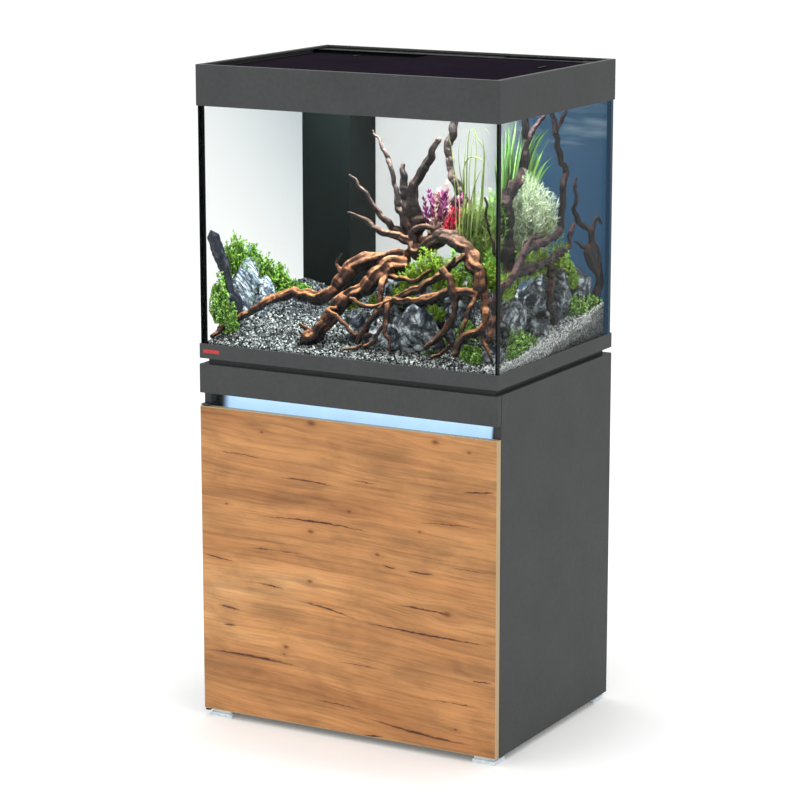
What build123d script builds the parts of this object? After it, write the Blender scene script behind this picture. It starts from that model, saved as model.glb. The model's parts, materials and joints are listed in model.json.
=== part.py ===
from build123d import *
import math
import os

# Aquarium on a cabinet stand. Millimetres, +Z up, origin on the floor under the middle.
# Front is -Y, right is +X. One STEP file is written for each separate piece.

# ---- Driving dimensions -------------------------------------------------------------
WIDTH = 730.0
DEPTH = 550.0
HEIGHT = 1450.0
FOOT_HEIGHT = 15.0
CABINET_TOP = 800.0
RISER_HEIGHT = 13.0
BASE_FRAME_HEIGHT = 32.0
HOOD_HEIGHT = 88.0
BOARD = 16.0
FRONT_BOARD = 16.0
DOOR_GAP = 2.5
FASCIA_HEIGHT = 64.0
LIGHT_GAP = 29.5
GLASS = 10.0
GLASS_INSET = 3.0
MAT = 4.0
SEAM = 1.0

# ---- Levels and planes worked out from them -----------------------------------------
X_OUT = WIDTH / 2
Y_OUT = DEPTH / 2
X_IN = X_OUT - BOARD
FRONT_BACK_FACE = -Y_OUT + FRONT_BOARD
CARCASS_FRONT = FRONT_BACK_FACE + DOOR_GAP
CARCASS_BACK = Y_OUT
BACK_PANEL_FRONT = CARCASS_BACK - BOARD
FLOOR_TOP = FOOT_HEIGHT + BOARD
TOP_UNDER = CABINET_TOP - BOARD
FASCIA_BOTTOM = CABINET_TOP - FASCIA_HEIGHT
DOOR_TOP = FASCIA_BOTTOM - LIGHT_GAP
DOOR_BOTTOM = FOOT_HEIGHT + 2.5
RISER_TOP = CABINET_TOP + RISER_HEIGHT
FRAME_TOP = RISER_TOP + BASE_FRAME_HEIGHT
GLASS_LOW = RISER_TOP + MAT
TANK_FLOOR = GLASS_LOW + GLASS
HOOD_BOTTOM = HEIGHT - HOOD_HEIGHT
GLASS_TOP = HOOD_BOTTOM + 23.0
GX_OUT = X_OUT - GLASS_INSET
GY_OUT = Y_OUT - GLASS_INSET
GX_IN = GX_OUT - GLASS
GY_IN = GY_OUT - GLASS

# ---- Filter shaft in the back left corner, and the pipes inside it --------------------
SHAFT_RIGHT = -229.0
SHAFT_FRONT = 142.0
SHAFT_WALL = 4.0
SHAFT_TOP = 1381.0
PIPE_RADIUS = 11.0
PIPE_BORE = 8.5
SUCTION_X, RETURN_X = -320.0, -268.0
PIPE_Y = 210.0
BULKHEAD_HOLE = 17.0
PASSAGE = (-345.0, -243.0, 178.0, 242.0)

# ---- Cabinet inside -------------------------------------------------------------------
PARTITION_X = 40.0
SHELF_Z = 400.0
CANISTER_SIZE = 200.0
CANISTER_X, CANISTER_Y = -150.0, 120.0
CANISTER_BODY = 270.0
CANISTER_HEAD = 78.0
HOSE_RADIUS = 9.0

# ---- Door pivot ------------------------------------------------------------------------
PIVOT_X = -X_OUT + 6.0
PIVOT_Y = -Y_OUT + FRONT_BOARD / 2
PIVOT_RADIUS = 2.0
PIVOT_CLEARANCE = 0.06
BUSH_RADIUS = 3.6
BUSH_LENGTH = 12.0
EDGE = 1.3

# ---- Lids ------------------------------------------------------------------------------
RIM_WALL = 3.0
RIM_LIP = 12.0
LID_THICK = 4.0
LOWER_LID_Z = 1433.0
UPPER_LID_Z = 1440.0
LID_MEETING = -48.0
LID_OVERLAP = 12.0
SERVICE_FRONT = 222.0

parts = {}
screws = []


def block(x0, x1, y0, y1, z0, z1):
    """A box between two corners."""
    centre = Pos((x0 + x1) / 2, (y0 + y1) / 2, (z0 + z1) / 2)
    return centre * Box(x1 - x0, y1 - y0, z1 - z0)


def post(x, y, z0, z1, radius):
    """An upright cylinder."""
    return Pos(x, y, (z0 + z1) / 2) * Cylinder(radius, z1 - z0)


def rounded_block(x0, x1, y0, y1, z0, z1, radius):
    """A box whose upright edges are rounded."""
    centre = Pos((x0 + x1) / 2, (y0 + y1) / 2, z0)
    return centre * extrude(RectangleRounded(x1 - x0, y1 - y0, radius), z1 - z0)


def along_x(outline, x0, x1):
    """A profile of (y, z) points, extruded from x0 to x1."""
    face = Plane.YZ * make_face(Polyline(*outline, close=True))
    return Pos(x0, 0, 0) * extrude(face, x1 - x0)


def soften(shape, radius, axis=None):
    """Rounds the edges of a board, or only those along one axis."""
    edges = shape.edges().filter_by(axis) if axis else shape.edges()
    return fillet(edges, radius)


def group(*shapes):
    """Separate solids kept together in one node."""
    return Compound(children=[s for shape in shapes for s in shape.solids()])


# ---- Faceted solids for what grows, lies or stands in the tank --------------------------


def facet(*points):
    """A flat face through three or more points."""
    return Face(Wire.make_polygon([Vector(*p) for p in points], close=True))


def faceted(rings, low, high):
    """A closed solid through rings of points, with a tip at each end."""
    faces = []
    count = len(rings[0])
    for i in range(count):
        j = (i + 1) % count
        faces.append(facet(low, rings[0][j], rings[0][i]))
        faces.append(facet(high, rings[-1][i], rings[-1][j]))
        for lower, upper in zip(rings, rings[1:]):
            faces.append(facet(lower[i], lower[j], upper[j]))
            faces.append(facet(lower[i], upper[j], upper[i]))
    solid = Solid(Shell(faces))
    return solid if solid.volume > 0 else -solid


def branch(points, radius, tip, sides=6):
    """A tapering branch along a route, from its thick end to its tip."""
    route = [Vector(*p) for p in points]
    heads = [(b - a).normalized() for a, b in zip(route, route[1:])]
    rings = []
    side = heads[0].cross(Vector(0.31, 0.22, 0.92)).normalized()
    last = len(route) - 1
    for k, place in enumerate(route):
        ahead = heads[0] if k == 0 else heads[-1] if k == last else heads[k - 1] + heads[k]
        ahead = ahead.normalized()
        side = (side - ahead * side.dot(ahead)).normalized()
        up = ahead.cross(side)
        size = radius + (tip - radius) * k / last
        ring = []
        for i in range(sides):
            turn = 2 * math.pi * i / sides
            ring.append(tuple(place + side * (size * math.cos(turn)) + up * (size * math.sin(turn))))
        rings.append(ring)
    start = tuple(route[0] - heads[0] * radius * 0.6)
    end = tuple(route[-1] + heads[-1] * tip * 1.2)
    return faceted(rings, start, end)


def lump(x, y, z0, z1, rx, ry, turn=0.0, sides=8, shoulder=0.55):
    """A rounded lump such as a stone or a bush, standing from z0 to z1."""
    rings = []
    for share, width in ((0.12, 0.92), (shoulder, 1.0), (0.86, 0.62)):
        ring = []
        for i in range(sides):
            angle = turn + 2 * math.pi * i / sides
            uneven = width * (1 + 0.09 * math.cos(3 * angle + 5 * share + x / 40))
            px, py = rx * uneven * math.cos(angle), ry * uneven * math.sin(angle)
            ring.append((x + px, y + py, z0 + share * (z1 - z0)))
        rings.append(ring)
    return faceted(rings, (x, y, z0), (x, y, z1))


def gravel_level(x, y):
    """Height of the gravel: it climbs to the back, and steeply at the left behind the front."""
    back = (y + GY_IN) / (2 * GY_IN)
    rise = min(1.0, back / 0.16)
    bank = 50 * (1 - 0.5 * back) * rise * rise * (3 - 2 * rise) * math.exp(-(((x + GX_IN) / 90) ** 2))
    return TANK_FLOOR + 21 + 68 * back + bank


def gravel_bed():
    """The gravel, a faceted surface over the tank floor, open where the shaft stands."""
    clear, across, deep = 0.5, 10, 6
    x0, x1, y0, y1 = -GX_IN + clear, GX_IN - clear, -GY_IN + clear, GY_IN - clear
    xs = [x0 + (x1 - x0) * i / across for i in range(across + 1)]
    ys = [y0 + (y1 - y0) * j / deep for j in range(deep + 1)]
    top = {(i, j): (x, y, gravel_level(x, y)) for i, x in enumerate(xs) for j, y in enumerate(ys)}
    low = {key: (x, y, TANK_FLOOR) for key, (x, y, z) in top.items()}
    faces = []
    for i in range(across):
        for j in range(deep):
            faces.append(facet(top[i, j], top[i + 1, j], top[i + 1, j + 1]))
            faces.append(facet(top[i, j], top[i + 1, j + 1], top[i, j + 1]))
        for j in (0, deep):
            faces.append(facet(low[i, j], low[i + 1, j], top[i + 1, j], top[i, j]))
    for j in range(deep):
        for i in (0, across):
            faces.append(facet(low[i, j], low[i, j + 1], top[i, j + 1], top[i, j]))
    rim = [low[i, 0] for i in range(across)] + [low[across, j] for j in range(deep)]
    rim += [low[i, deep] for i in range(across, 0, -1)] + [low[0, j] for j in range(deep, 0, -1)]
    faces.append(facet(*rim))
    bed = Solid(Shell(faces))
    shaft = block(-X_OUT, SHAFT_RIGHT + clear, SHAFT_FRONT - clear, Y_OUT, TANK_FLOOR - 1, HEIGHT)
    return bed - shaft


# ---- Cabinet --------------------------------------------------------------------------


def cabinet_carcass():
    """Sides, floor, top, back and inner partition, held by cams and dowels."""
    top_holes = block(*PASSAGE, TOP_UNDER - 1, CABINET_TOP + 1)
    left = block(-X_OUT, -X_IN, CARCASS_FRONT, CARCASS_BACK, FOOT_HEIGHT, CABINET_TOP)
    right = block(X_IN, X_OUT, CARCASS_FRONT, CARCASS_BACK, FOOT_HEIGHT, CABINET_TOP)
    low = block(-X_IN, X_IN, CARCASS_FRONT, CARCASS_BACK, FOOT_HEIGHT, FLOOR_TOP)
    top = block(-X_IN, X_IN, CARCASS_FRONT, CARCASS_BACK, TOP_UNDER, CABINET_TOP) - top_holes
    back = block(-X_IN, X_IN, BACK_PANEL_FRONT, CARCASS_BACK, FLOOR_TOP, TOP_UNDER)
    back -= block(-300, -60, BACK_PANEL_FRONT - 1, CARCASS_BACK + 1, 560, 700)
    back -= block(90, 290, BACK_PANEL_FRONT - 1, CARCASS_BACK + 1, 90, 210)
    partition = block(PARTITION_X, PARTITION_X + BOARD, -212, BACK_PANEL_FRONT, FLOOR_TOP, TOP_UNDER)

    cam_radius, cam_depth, cams = 7.5, 12.5, []
    for x in (-X_IN + 34, X_IN - 34):
        for y in (-190, 0, 190):
            if x < 0 and y > 0:
                y = 150
            cams.append(post(x, y, FLOOR_TOP - cam_depth, FLOOR_TOP, cam_radius))
            cams.append(post(x, y, TOP_UNDER, TOP_UNDER + cam_depth, cam_radius))
    for cam in cams:
        low -= cam
        top -= cam
    slotted = []
    for cam in cams:
        at = cam.center()
        face = FLOOR_TOP - 2 if at.Z < CABINET_TOP / 2 else TOP_UNDER
        slotted.append(cam - block(at.X - 5, at.X + 5, at.Y - 0.8, at.Y + 0.8, face, face + 2))

    parts["left_side_panel"] = soften(left, 0.8, Axis.Z)
    parts["right_side_panel"] = soften(right, 0.8, Axis.Z)
    parts["bottom_panel"] = low
    parts["top_panel"] = top
    parts["back_panel"] = back
    parts["middle_partition"] = partition
    parts["cam_locks"] = group(*slotted)


def shelf():
    """The shelf of the right bay and the four pins that it lies on."""
    x0, x1 = PARTITION_X + BOARD, X_IN
    y0, y1 = -190.0, 246.0
    parts["shelf"] = soften(block(x0 + 1, x1 - 1, y0, y1, SHELF_Z, SHELF_Z + BOARD), 0.6, Axis.X)
    pins = []
    for y in (y0 + 50, y1 - 50):
        for x, way in ((x0, 1), (x1, -1)):
            near, far = sorted((x, x + way * 12))
            pins.append(block(near, far, y - 8, y + 8, SHELF_Z - 2, SHELF_Z))
            near, far = sorted((x, x + way * 3))
            pins[-1] += block(near, far, y - 8, y + 8, SHELF_Z - 14, SHELF_Z - 2)
    parts["shelf_pins"] = group(*pins)


def light_recess():
    """The fascia rail and the lit recess under it, which is also the door's finger gap."""
    fascia = block(-X_OUT, X_OUT, -Y_OUT, FRONT_BACK_FACE, FASCIA_BOTTOM, CABINET_TOP)
    parts["fascia_rail"] = soften(fascia, 0.8, Axis.X)
    blocks = block(-X_IN, X_IN, FRONT_BACK_FACE, CARCASS_FRONT, TOP_UNDER, CABINET_TOP)
    parts["fascia_rail"] += blocks

    end = X_IN - 5
    sheet = 1.5
    outline = [
        (CARCASS_FRONT + 1, DOOR_TOP - 9),
        (CARCASS_FRONT + 22, DOOR_TOP - 9),
        (CARCASS_FRONT + 34, TOP_UNDER - 6),
        (CARCASS_FRONT + 40, TOP_UNDER - 6),
        (CARCASS_FRONT + 40, TOP_UNDER),
        (CARCASS_FRONT + 34 - sheet * 2, TOP_UNDER),
    ]
    outline += [
        (CARCASS_FRONT + 22 - sheet * 2, DOOR_TOP - 9 + sheet * 2),
        (CARCASS_FRONT + 1, DOOR_TOP - 9 + sheet * 2),
    ]
    parts["light_reflector"] = along_x(outline, -end, end)

    bar_low, bar_high = FASCIA_BOTTOM + 10, FASCIA_BOTTOM + 22
    bar_y0, bar_y1 = FRONT_BACK_FACE, FRONT_BACK_FACE + 16
    bar = block(-end + 10, end - 10, bar_y0, bar_y1, bar_low, bar_high)
    channel = block(-end + 13, end - 13, bar_y0 + 2, bar_y1 - 2, bar_low - 1, bar_high - 2)
    parts["cabinet_light_bar"] = bar - channel
    parts["cabinet_light_diffuser"] = block(-end + 13.2, end - 13.2, bar_y0 + 2.2, bar_y1 - 2.2,
                                            bar_low - 1.5, bar_low + 5)


def door():
    """The door, its edge strips, pivot bushes and stops, and the cabinet's two pivots."""
    low, high = DOOR_BOTTOM, DOOR_TOP
    panel = block(-X_OUT + EDGE, X_OUT - EDGE, -Y_OUT, FRONT_BACK_FACE, low + EDGE, high - EDGE)
    whole = block(-X_OUT, X_OUT, -Y_OUT, FRONT_BACK_FACE, low, high)
    edging = soften(whole, 0.5, Axis.Z) - panel
    bushes, pins, brackets = [], [], []
    plate = 3.0
    for face, way in ((low, 1), (high, -1)):
        inner = face + way * BUSH_LENGTH
        z0, z1 = sorted((face, inner))
        bore = post(PIVOT_X, PIVOT_Y, z0, z1, BUSH_RADIUS)
        panel -= bore
        edging -= bore
        bushes.append(bore - post(PIVOT_X, PIVOT_Y, z0 - 1, z1 + 1, PIVOT_RADIUS + PIVOT_CLEARANCE))
        pin_end = face + way * (BUSH_LENGTH - 1)
        pin_start = face - way * 1.5
        z0, z1 = sorted((pin_start, pin_end))
        pins.append(post(PIVOT_X, PIVOT_Y, z0, z1, PIVOT_RADIUS))
    under = FOOT_HEIGHT - plate
    strip = block(-X_OUT + 0.6, -X_OUT + 12.5, -Y_OUT + 3, -196, under, FOOT_HEIGHT)
    boss = post(PIVOT_X, PIVOT_Y, FOOT_HEIGHT, FOOT_HEIGHT + 1.2, 4)
    brackets.append(strip + boss + pins[0])
    over = high + 1.5
    reach = block(-X_OUT + 0.6, -X_IN + plate, -Y_OUT + 3, CARCASS_FRONT - 0.8, over, over + plate)
    tail = block(-X_IN, -X_IN + plate, CARCASS_FRONT - 1.2, -196, over, over + plate)
    flange = block(-X_IN, -X_IN + plate, CARCASS_FRONT + 3, -196, over - 40, over)
    brackets.append(reach + tail + flange + pins[1])
    parts["door_panel"] = panel
    parts["door_edging"] = edging
    parts["pivot_bushes"] = group(*bushes)
    parts["pivot_brackets"] = group(*brackets)
    for y in (-232, -206):
        screws.append(post(-X_OUT + 6.5, y, under - 1.0, under, 3.4))
        for z in (over - 12, over - 30):
            screws.append(Pos(-X_IN + plate + 0.8, y, z) * Rot(0, 90, 0) * Cylinder(3.4, 1.6))
    bumpers = []
    for z in (60, DOOR_TOP - 30):
        y = (FRONT_BACK_FACE + CARCASS_FRONT) / 2 - 0.4
        bumpers.append(Pos(X_OUT - 9, y, z) * Rot(90, 0, 0) * Cylinder(4, DOOR_GAP - 0.8))
    parts["door_bumpers"] = group(*bumpers)


def feet():
    """Four square feet, each a clear glide with a collar, and their fixing screws."""
    size_x, size_y = 54.0, 50.0
    left_x = -X_OUT + 14 + size_x / 2
    right_x = X_OUT - 5 - size_x / 2
    rear_y = Y_OUT - 5 - size_y / 2
    pad_top, step, head_top = 9.0, 3.0, 7.0
    places = {
        "front_left": (left_x, -rear_y),
        "front_right": (right_x, -rear_y),
        "rear_left": (left_x, rear_y),
        "rear_right": (right_x, rear_y),
    }
    for name, (x, y) in places.items():
        x0, x1, y0, y1 = x - size_x / 2, x + size_x / 2, y - size_y / 2, y + size_y / 2
        pad = rounded_block(x0, x1, y0, y1, 0, pad_top, 4)
        collar = rounded_block(x0 + step, x1 - step, y0 + step, y1 - step, pad_top, FOOT_HEIGHT, 3)
        well = post(x, y, -1, head_top, 6) + post(x, y, head_top - 1, FOOT_HEIGHT + 1, 2.6)
        parts["foot_" + name] = pad + collar - well
        screw = post(x, y, head_top - 3, head_top, 5) + post(x, y, head_top, FOOT_HEIGHT + 14, 2.4)
        parts["bottom_panel"] -= screw
        screws.append(screw)


# ---- Tank -----------------------------------------------------------------------------


def tank_base():
    """The recessed riser, the frame round the bottom of the tank, and the soft mat."""
    inset = 15.0
    riser = block(-X_OUT + inset, X_OUT - inset, -Y_OUT + inset, Y_OUT - inset, CABINET_TOP, RISER_TOP)
    passage = block(*PASSAGE, CABINET_TOP - 1, TANK_FLOOR)
    parts["base_riser"] = riser - passage
    flange = 12.0
    wall = soften(block(-X_OUT, X_OUT, -Y_OUT, Y_OUT, RISER_TOP, FRAME_TOP), 1.2, Axis.Z)
    hold = 0.2
    inner = block(-GX_OUT - hold, GX_OUT + hold, -GY_OUT - hold, GY_OUT + hold, GLASS_LOW, FRAME_TOP + 1)
    hollow = block(-GX_OUT + flange, GX_OUT - flange, -GY_OUT + flange, GY_OUT - flange,
                   RISER_TOP - 1, FRAME_TOP)
    plate = block(-X_OUT + 10, -X_OUT + 50, -Y_OUT - 1, -Y_OUT + 0.6, RISER_TOP + 12, RISER_TOP + 20)
    parts["tank_base_frame"] = wall - inner - hollow - plate
    parts["badge_plate"] = block(-X_OUT + 10.1, -X_OUT + 49.9, -Y_OUT, -Y_OUT + 0.6,
                                 RISER_TOP + 12.1, RISER_TOP + 19.9)
    mat = block(-GX_OUT + flange + 1, GX_OUT - flange - 1, -GY_OUT + flange + 1,
                GY_OUT - flange - 1, RISER_TOP, GLASS_LOW)
    parts["tank_mat"] = mat - passage


def tank_glass():
    """Five panes, butt jointed with silicone, and the film on the back."""
    low = block(-GX_OUT, GX_OUT, -GY_OUT, GY_OUT, GLASS_LOW, TANK_FLOOR)
    for x in (SUCTION_X, RETURN_X):
        low -= post(x, PIPE_Y, GLASS_LOW - 1, TANK_FLOOR + 1, BULKHEAD_HOLE)
    z0, z1 = TANK_FLOOR + SEAM, GLASS_TOP
    parts["glass_bottom"] = low
    parts["glass_front"] = block(-GX_OUT, GX_OUT, -GY_OUT, -GY_IN, z0, z1)
    parts["glass_back"] = block(-GX_OUT, GX_OUT, GY_IN, GY_OUT, z0, z1)
    side = GY_IN - SEAM
    parts["glass_left"] = block(-GX_OUT, -GX_IN, -side, side, z0, z1)
    parts["glass_right"] = block(GX_IN, GX_OUT, -side, side, z0, z1)
    seams = block(-GX_OUT, GX_OUT, -GY_OUT, GY_OUT, TANK_FLOOR, z0)
    seams -= block(-GX_IN, GX_IN, -GY_IN, GY_IN, TANK_FLOOR - 1, z0 + 1)
    for x0, x1 in ((-GX_OUT, -GX_IN), (GX_IN, GX_OUT)):
        for y0, y1 in ((-GY_IN, -side), (side, GY_IN)):
            seams += block(x0, x1, y0, y1, z0, z1)
    parts["silicone_seams"] = seams
    parts["background_film"] = block(-GX_OUT + 1, GX_OUT - 1, GY_OUT, GY_OUT + 0.5,
                                     FRAME_TOP + 0.5, HOOD_BOTTOM - 0.5)


def hood():
    """The hood frame round the top of the glass, with its tracks and service strip."""
    wall = soften(block(-X_OUT, X_OUT, -Y_OUT, Y_OUT, HOOD_BOTTOM, HEIGHT), 1.5, Axis.Z)
    inner = block(-X_OUT + RIM_WALL, X_OUT - RIM_WALL, -Y_OUT + RIM_WALL, Y_OUT - RIM_WALL,
                  HOOD_BOTTOM - 1, HEIGHT - 4)
    throat = block(-X_OUT + RIM_LIP, X_OUT - RIM_LIP, -Y_OUT + RIM_LIP, Y_OUT - RIM_LIP,
                   HEIGHT - 5, HEIGHT + 1)
    frame = wall - inner - throat
    ledge = block(-X_OUT + 1, X_OUT - 1, -Y_OUT + 1, Y_OUT - 1, GLASS_TOP, GLASS_TOP + 3)
    ledge -= block(-GX_IN + 8, GX_IN - 8, -GY_IN + 8, GY_IN - 8, GLASS_TOP - 1, GLASS_TOP + 4)
    frame += ledge
    parts["hood_frame"] = frame

    tracks = []
    inner_x = X_OUT - RIM_WALL
    for way in (-1, 1):
        wall_y = Y_OUT - RIM_WALL if way < 0 else SERVICE_FRONT + 2
        deep = LOWER_LID_Z - 3
        y_edge = -wall_y if way < 0 else wall_y
        toward = 1 if way < 0 else -1
        outline = [(y_edge, deep), (y_edge + toward * 16, deep)]
        for z in (LOWER_LID_Z - 0.4, UPPER_LID_Z - 0.4):
            rib_top = z
            outline += [(y_edge + toward * 16, rib_top), (y_edge + toward * 4, rib_top)]
            above = z + LID_THICK + 0.8
            outline += [(y_edge + toward * 4, above), (y_edge + toward * 16, above)]
        outline += [(y_edge + toward * 16, UPPER_LID_Z + 5.5), (y_edge, UPPER_LID_Z + 5.5)]
        tracks.append(along_x(outline, -inner_x, inner_x))
    parts["lid_tracks"] = group(*tracks)

    z1 = UPPER_LID_Z + LID_THICK + 0.5
    strip = block(-inner_x, inner_x, SERVICE_FRONT + 2, Y_OUT - RIM_WALL, z1 - 3, z1)
    strip += block(-inner_x, inner_x, SERVICE_FRONT + 2, SERVICE_FRONT + 5, LOWER_LID_Z - 3, z1 - 3)
    strip += block(-inner_x, inner_x, Y_OUT - RIM_WALL - 3, Y_OUT - RIM_WALL, LOWER_LID_Z - 3, z1 - 3)
    strip -= block(110, 300, SERVICE_FRONT + 12, Y_OUT - RIM_WALL - 8, z1 - 4, z1 + 1)
    parts["service_strip"] = strip


def lids():
    """Two dark glass covers that slide over each other, each with a low finger grip."""
    y0 = -Y_OUT + RIM_WALL + 4.5
    y1 = SERVICE_FRONT - 2.5
    end = X_OUT - RIM_WALL - 1.5
    left = block(-end, LID_MEETING + LID_OVERLAP, y0, y1, LOWER_LID_Z, LOWER_LID_Z + LID_THICK)
    right = block(LID_MEETING - LID_OVERLAP, end, y0, y1, UPPER_LID_Z, UPPER_LID_Z + LID_THICK)
    parts["lid_left"] = soften(left, 0.6, Axis.Z)
    parts["lid_right"] = soften(right, 0.6, Axis.Z)
    grips = (("left", -232, 186, LOWER_LID_Z, 1.6), ("right", 292, 62, UPPER_LID_Z, 3.0))
    for name, x, y, lid_z, high in grips:
        z = lid_z + LID_THICK
        bar = rounded_block(x - 3.5, x + 3.5, y - 20, y + 20, z, z + high, 3)
        parts["lid_" + name + "_grip"] = bar


def tank_lights():
    """Two light bars across the hood: housing, lens and the brackets that carry them."""
    z0, z1 = GLASS_TOP + 10, GLASS_TOP + 24
    end = GX_IN - 26
    housings, lenses, brackets = [], [], []
    for y in (-110, 40):
        body = rounded_block(-end, end, y - 24, y + 24, z0, z1, 3)
        body -= block(-end + 4, end - 4, y - 20, y + 20, z0 - 1, z0 + 5)
        for k in range(-4, 5):
            body -= block(-end + 20, end - 20, y + k * 5 - 1, y + k * 5 + 1, z1 - 4, z1 + 1)
        housings.append(body)
        lenses.append(block(-end + 4.2, end - 4.2, y - 19.8, y + 19.8, z0, z0 + 3))
        for side in (-1, 1):
            inner, outer = sorted((side * (end + 0.2), side * (X_OUT - RIM_WALL)))
            arm = block(inner, outer, y - 14, y + 14, GLASS_TOP + 3, GLASS_TOP + 6)
            stop0, stop1 = sorted((side * (end + 0.2), side * (end + 3)))
            arm += block(stop0, stop1, y - 14, y + 14, GLASS_TOP + 3, z1)
            brackets.append(arm)
    parts["led_housings"] = group(*housings)
    parts["led_lenses"] = group(*lenses)
    parts["led_brackets"] = group(*brackets)


# ---- Filter ------------------------------------------------------------------------------


def filter_shaft():
    """The black corner shaft with a comb at its top and slots at its foot."""
    clear = 0.3
    x1, y0 = SHAFT_RIGHT, SHAFT_FRONT
    front = block(-GX_IN + clear, x1, y0, y0 + SHAFT_WALL, TANK_FLOOR, SHAFT_TOP)
    side = block(x1 - SHAFT_WALL, x1, y0, GY_IN - clear, TANK_FLOOR, SHAFT_TOP)
    shaft = front + side
    for k in range(8):
        x = -GX_IN + 16 + k * 12
        shaft -= block(x, x + 4, y0 - 1, y0 + SHAFT_WALL + 1, HOOD_BOTTOM + 2, SHAFT_TOP - 4)
    for k in range(4):
        y = y0 + 18 + k * 12
        shaft -= block(x1 - SHAFT_WALL - 1, x1 + 1, y, y + 4, HOOD_BOTTOM + 2, SHAFT_TOP - 4)
    parts["filter_shaft"] = shaft


def tube(x, y, z0, z1, outer, inner):
    """An upright tube."""
    return post(x, y, z0, z1, outer) - post(x, y, z0 - 1, z1 + 1, inner)


def shaft_pipes():
    """The suction standpipe, the return pipe with its outlet, and their bulkheads."""
    low, under = TANK_FLOOR + 8, GLASS_LOW - 46
    suction = tube(SUCTION_X, PIPE_Y, low, 1180, PIPE_RADIUS, PIPE_BORE)
    for k in range(10):
        z = 1060 + k * 11
        suction -= block(SUCTION_X - 20, SUCTION_X + 20, PIPE_Y - 3, PIPE_Y + 3, z, z + 5)
    parts["suction_pipe"] = suction
    outlet_z = HOOD_BOTTOM + 6
    riser = tube(RETURN_X, PIPE_Y, low, outlet_z + PIPE_RADIUS, PIPE_RADIUS, PIPE_BORE)
    cap = post(RETURN_X, PIPE_Y, outlet_z + PIPE_RADIUS, outlet_z + PIPE_RADIUS + 2, PIPE_RADIUS)
    elbow_y0 = SHAFT_FRONT - 14
    length = PIPE_Y - elbow_y0
    level = Pos(RETURN_X, PIPE_Y - length / 2, outlet_z) * Rot(90, 0, 0)
    arm = level * Cylinder(PIPE_RADIUS, length)
    hollow = level * Cylinder(PIPE_BORE, length + 0.1)
    pipe = riser + cap + arm - hollow - post(RETURN_X, PIPE_Y, low - 1, outlet_z, PIPE_BORE)
    parts["return_pipe"] = pipe
    gap = Pos(RETURN_X, SHAFT_FRONT + 2, outlet_z) * Rot(90, 0, 0) * Cylinder(PIPE_RADIUS + 0.3, 8)
    parts["filter_shaft"] -= gap
    joint = Pos(RETURN_X, elbow_y0 - 0.3, outlet_z) * Rot(90, 0, 0)
    tip = joint * Pos(0, 0, 8) * Rot(0, 30, 0)
    nozzle = joint * Pos(0, 0, 4) * Cylinder(PIPE_RADIUS, 8)
    nozzle += tip * Pos(0, 0, 9) * Cone(PIPE_RADIUS, 7, 22)
    nozzle -= joint * Pos(0, 0, 4) * Cylinder(5, 10) + tip * Pos(0, 0, 10) * Cylinder(5, 26)
    parts["return_nozzle"] = nozzle
    bulkheads = []
    for x in (SUCTION_X, RETURN_X):
        top = post(x, PIPE_Y, TANK_FLOOR, TANK_FLOOR + 8, 21)
        neck = post(x, PIPE_Y, under, TANK_FLOOR, BULKHEAD_HOLE - 0.5)
        nut = extrude(Pos(x, PIPE_Y, GLASS_LOW - 10) * RegularPolygon(23, 6), 10)
        whole = top + neck + nut - post(x, PIPE_Y, under - 1, TANK_FLOOR + 9, PIPE_BORE)
        bulkheads.append(whole)
    parts["bulkheads"] = group(*bulkheads)
    return under


def square_block(centre, half, z0, z1, radius):
    """A rounded block, as wide as it is deep, over a middle point (x, y)."""
    x, y = centre
    return rounded_block(x - half, x + half, y - half, y + half, z0, z1, radius)


def canister():
    """The canister filter in the left bay: its can, head, hose tails and two clips."""
    half = CANISTER_SIZE / 2
    x, y, z0 = CANISTER_X, CANISTER_Y, FLOOR_TOP
    middle = (x, y)
    split = z0 + CANISTER_BODY
    can = square_block(middle, half, z0 + 6, split, 26)
    can += square_block(middle, half - 14, z0, z0 + 6, 20)
    can -= square_block(middle, half - 5, z0 + 10, split + 1, 22)
    top = split + CANISTER_HEAD
    head = square_block(middle, half, split, top - 12, 26)
    head += square_block(middle, half - 16, top - 12, top, 22)
    tails = [(x - 45, y + 30), (x + 15, y + 30)]
    for tail_x, tail_y in tails:
        head += post(tail_x, tail_y, top, top + 30, HOSE_RADIUS + 3)
        head -= post(tail_x, tail_y, top + 4, top + 31, HOSE_RADIUS + 0.2)
    handle = rounded_block(x - 60, x + 60, y - 62, y - 34, top, top + 26, 8)
    handle -= rounded_block(x - 48, x + 48, y - 70, y - 26, top - 1, top + 16, 4)
    head += handle
    pivot_z = split + 40
    for name, way in (("left", -1), ("right", 1)):
        face = x + way * half
        near, far = sorted((face, face + way * 10))
        axle = Pos(face + way * 5.5, y, pivot_z) * Rot(90, 0, 0)
        for side in (-24, 24):
            head += block(near, far, y + side - 4, y + side + 4, pivot_z - 7, pivot_z + 7)
        head += axle * Cylinder(2.5, 52)
        near, far = sorted((face, face + way * 5))
        can += block(near, far, y - 16, y + 16, split - 26, split - 18)
        near, far = sorted((face + way * 1.2, face + way * 11))
        clip = rounded_block(near, far, y - 18.5, y + 18.5, split - 34, pivot_z, 2)
        near, far = sorted((face + way * 0.5, face + way * 5.6))
        clip += axle * Cylinder(4.9, 37)
        clip -= block(near, far, y - 17, y + 17, split - 27, split - 17.5)
        clip -= axle * Cylinder(2.56, 60)
        parts["filter_clip_" + name] = clip
    parts["filter_can"] = can
    parts["filter_head"] = head
    return tails, top + 4


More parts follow.
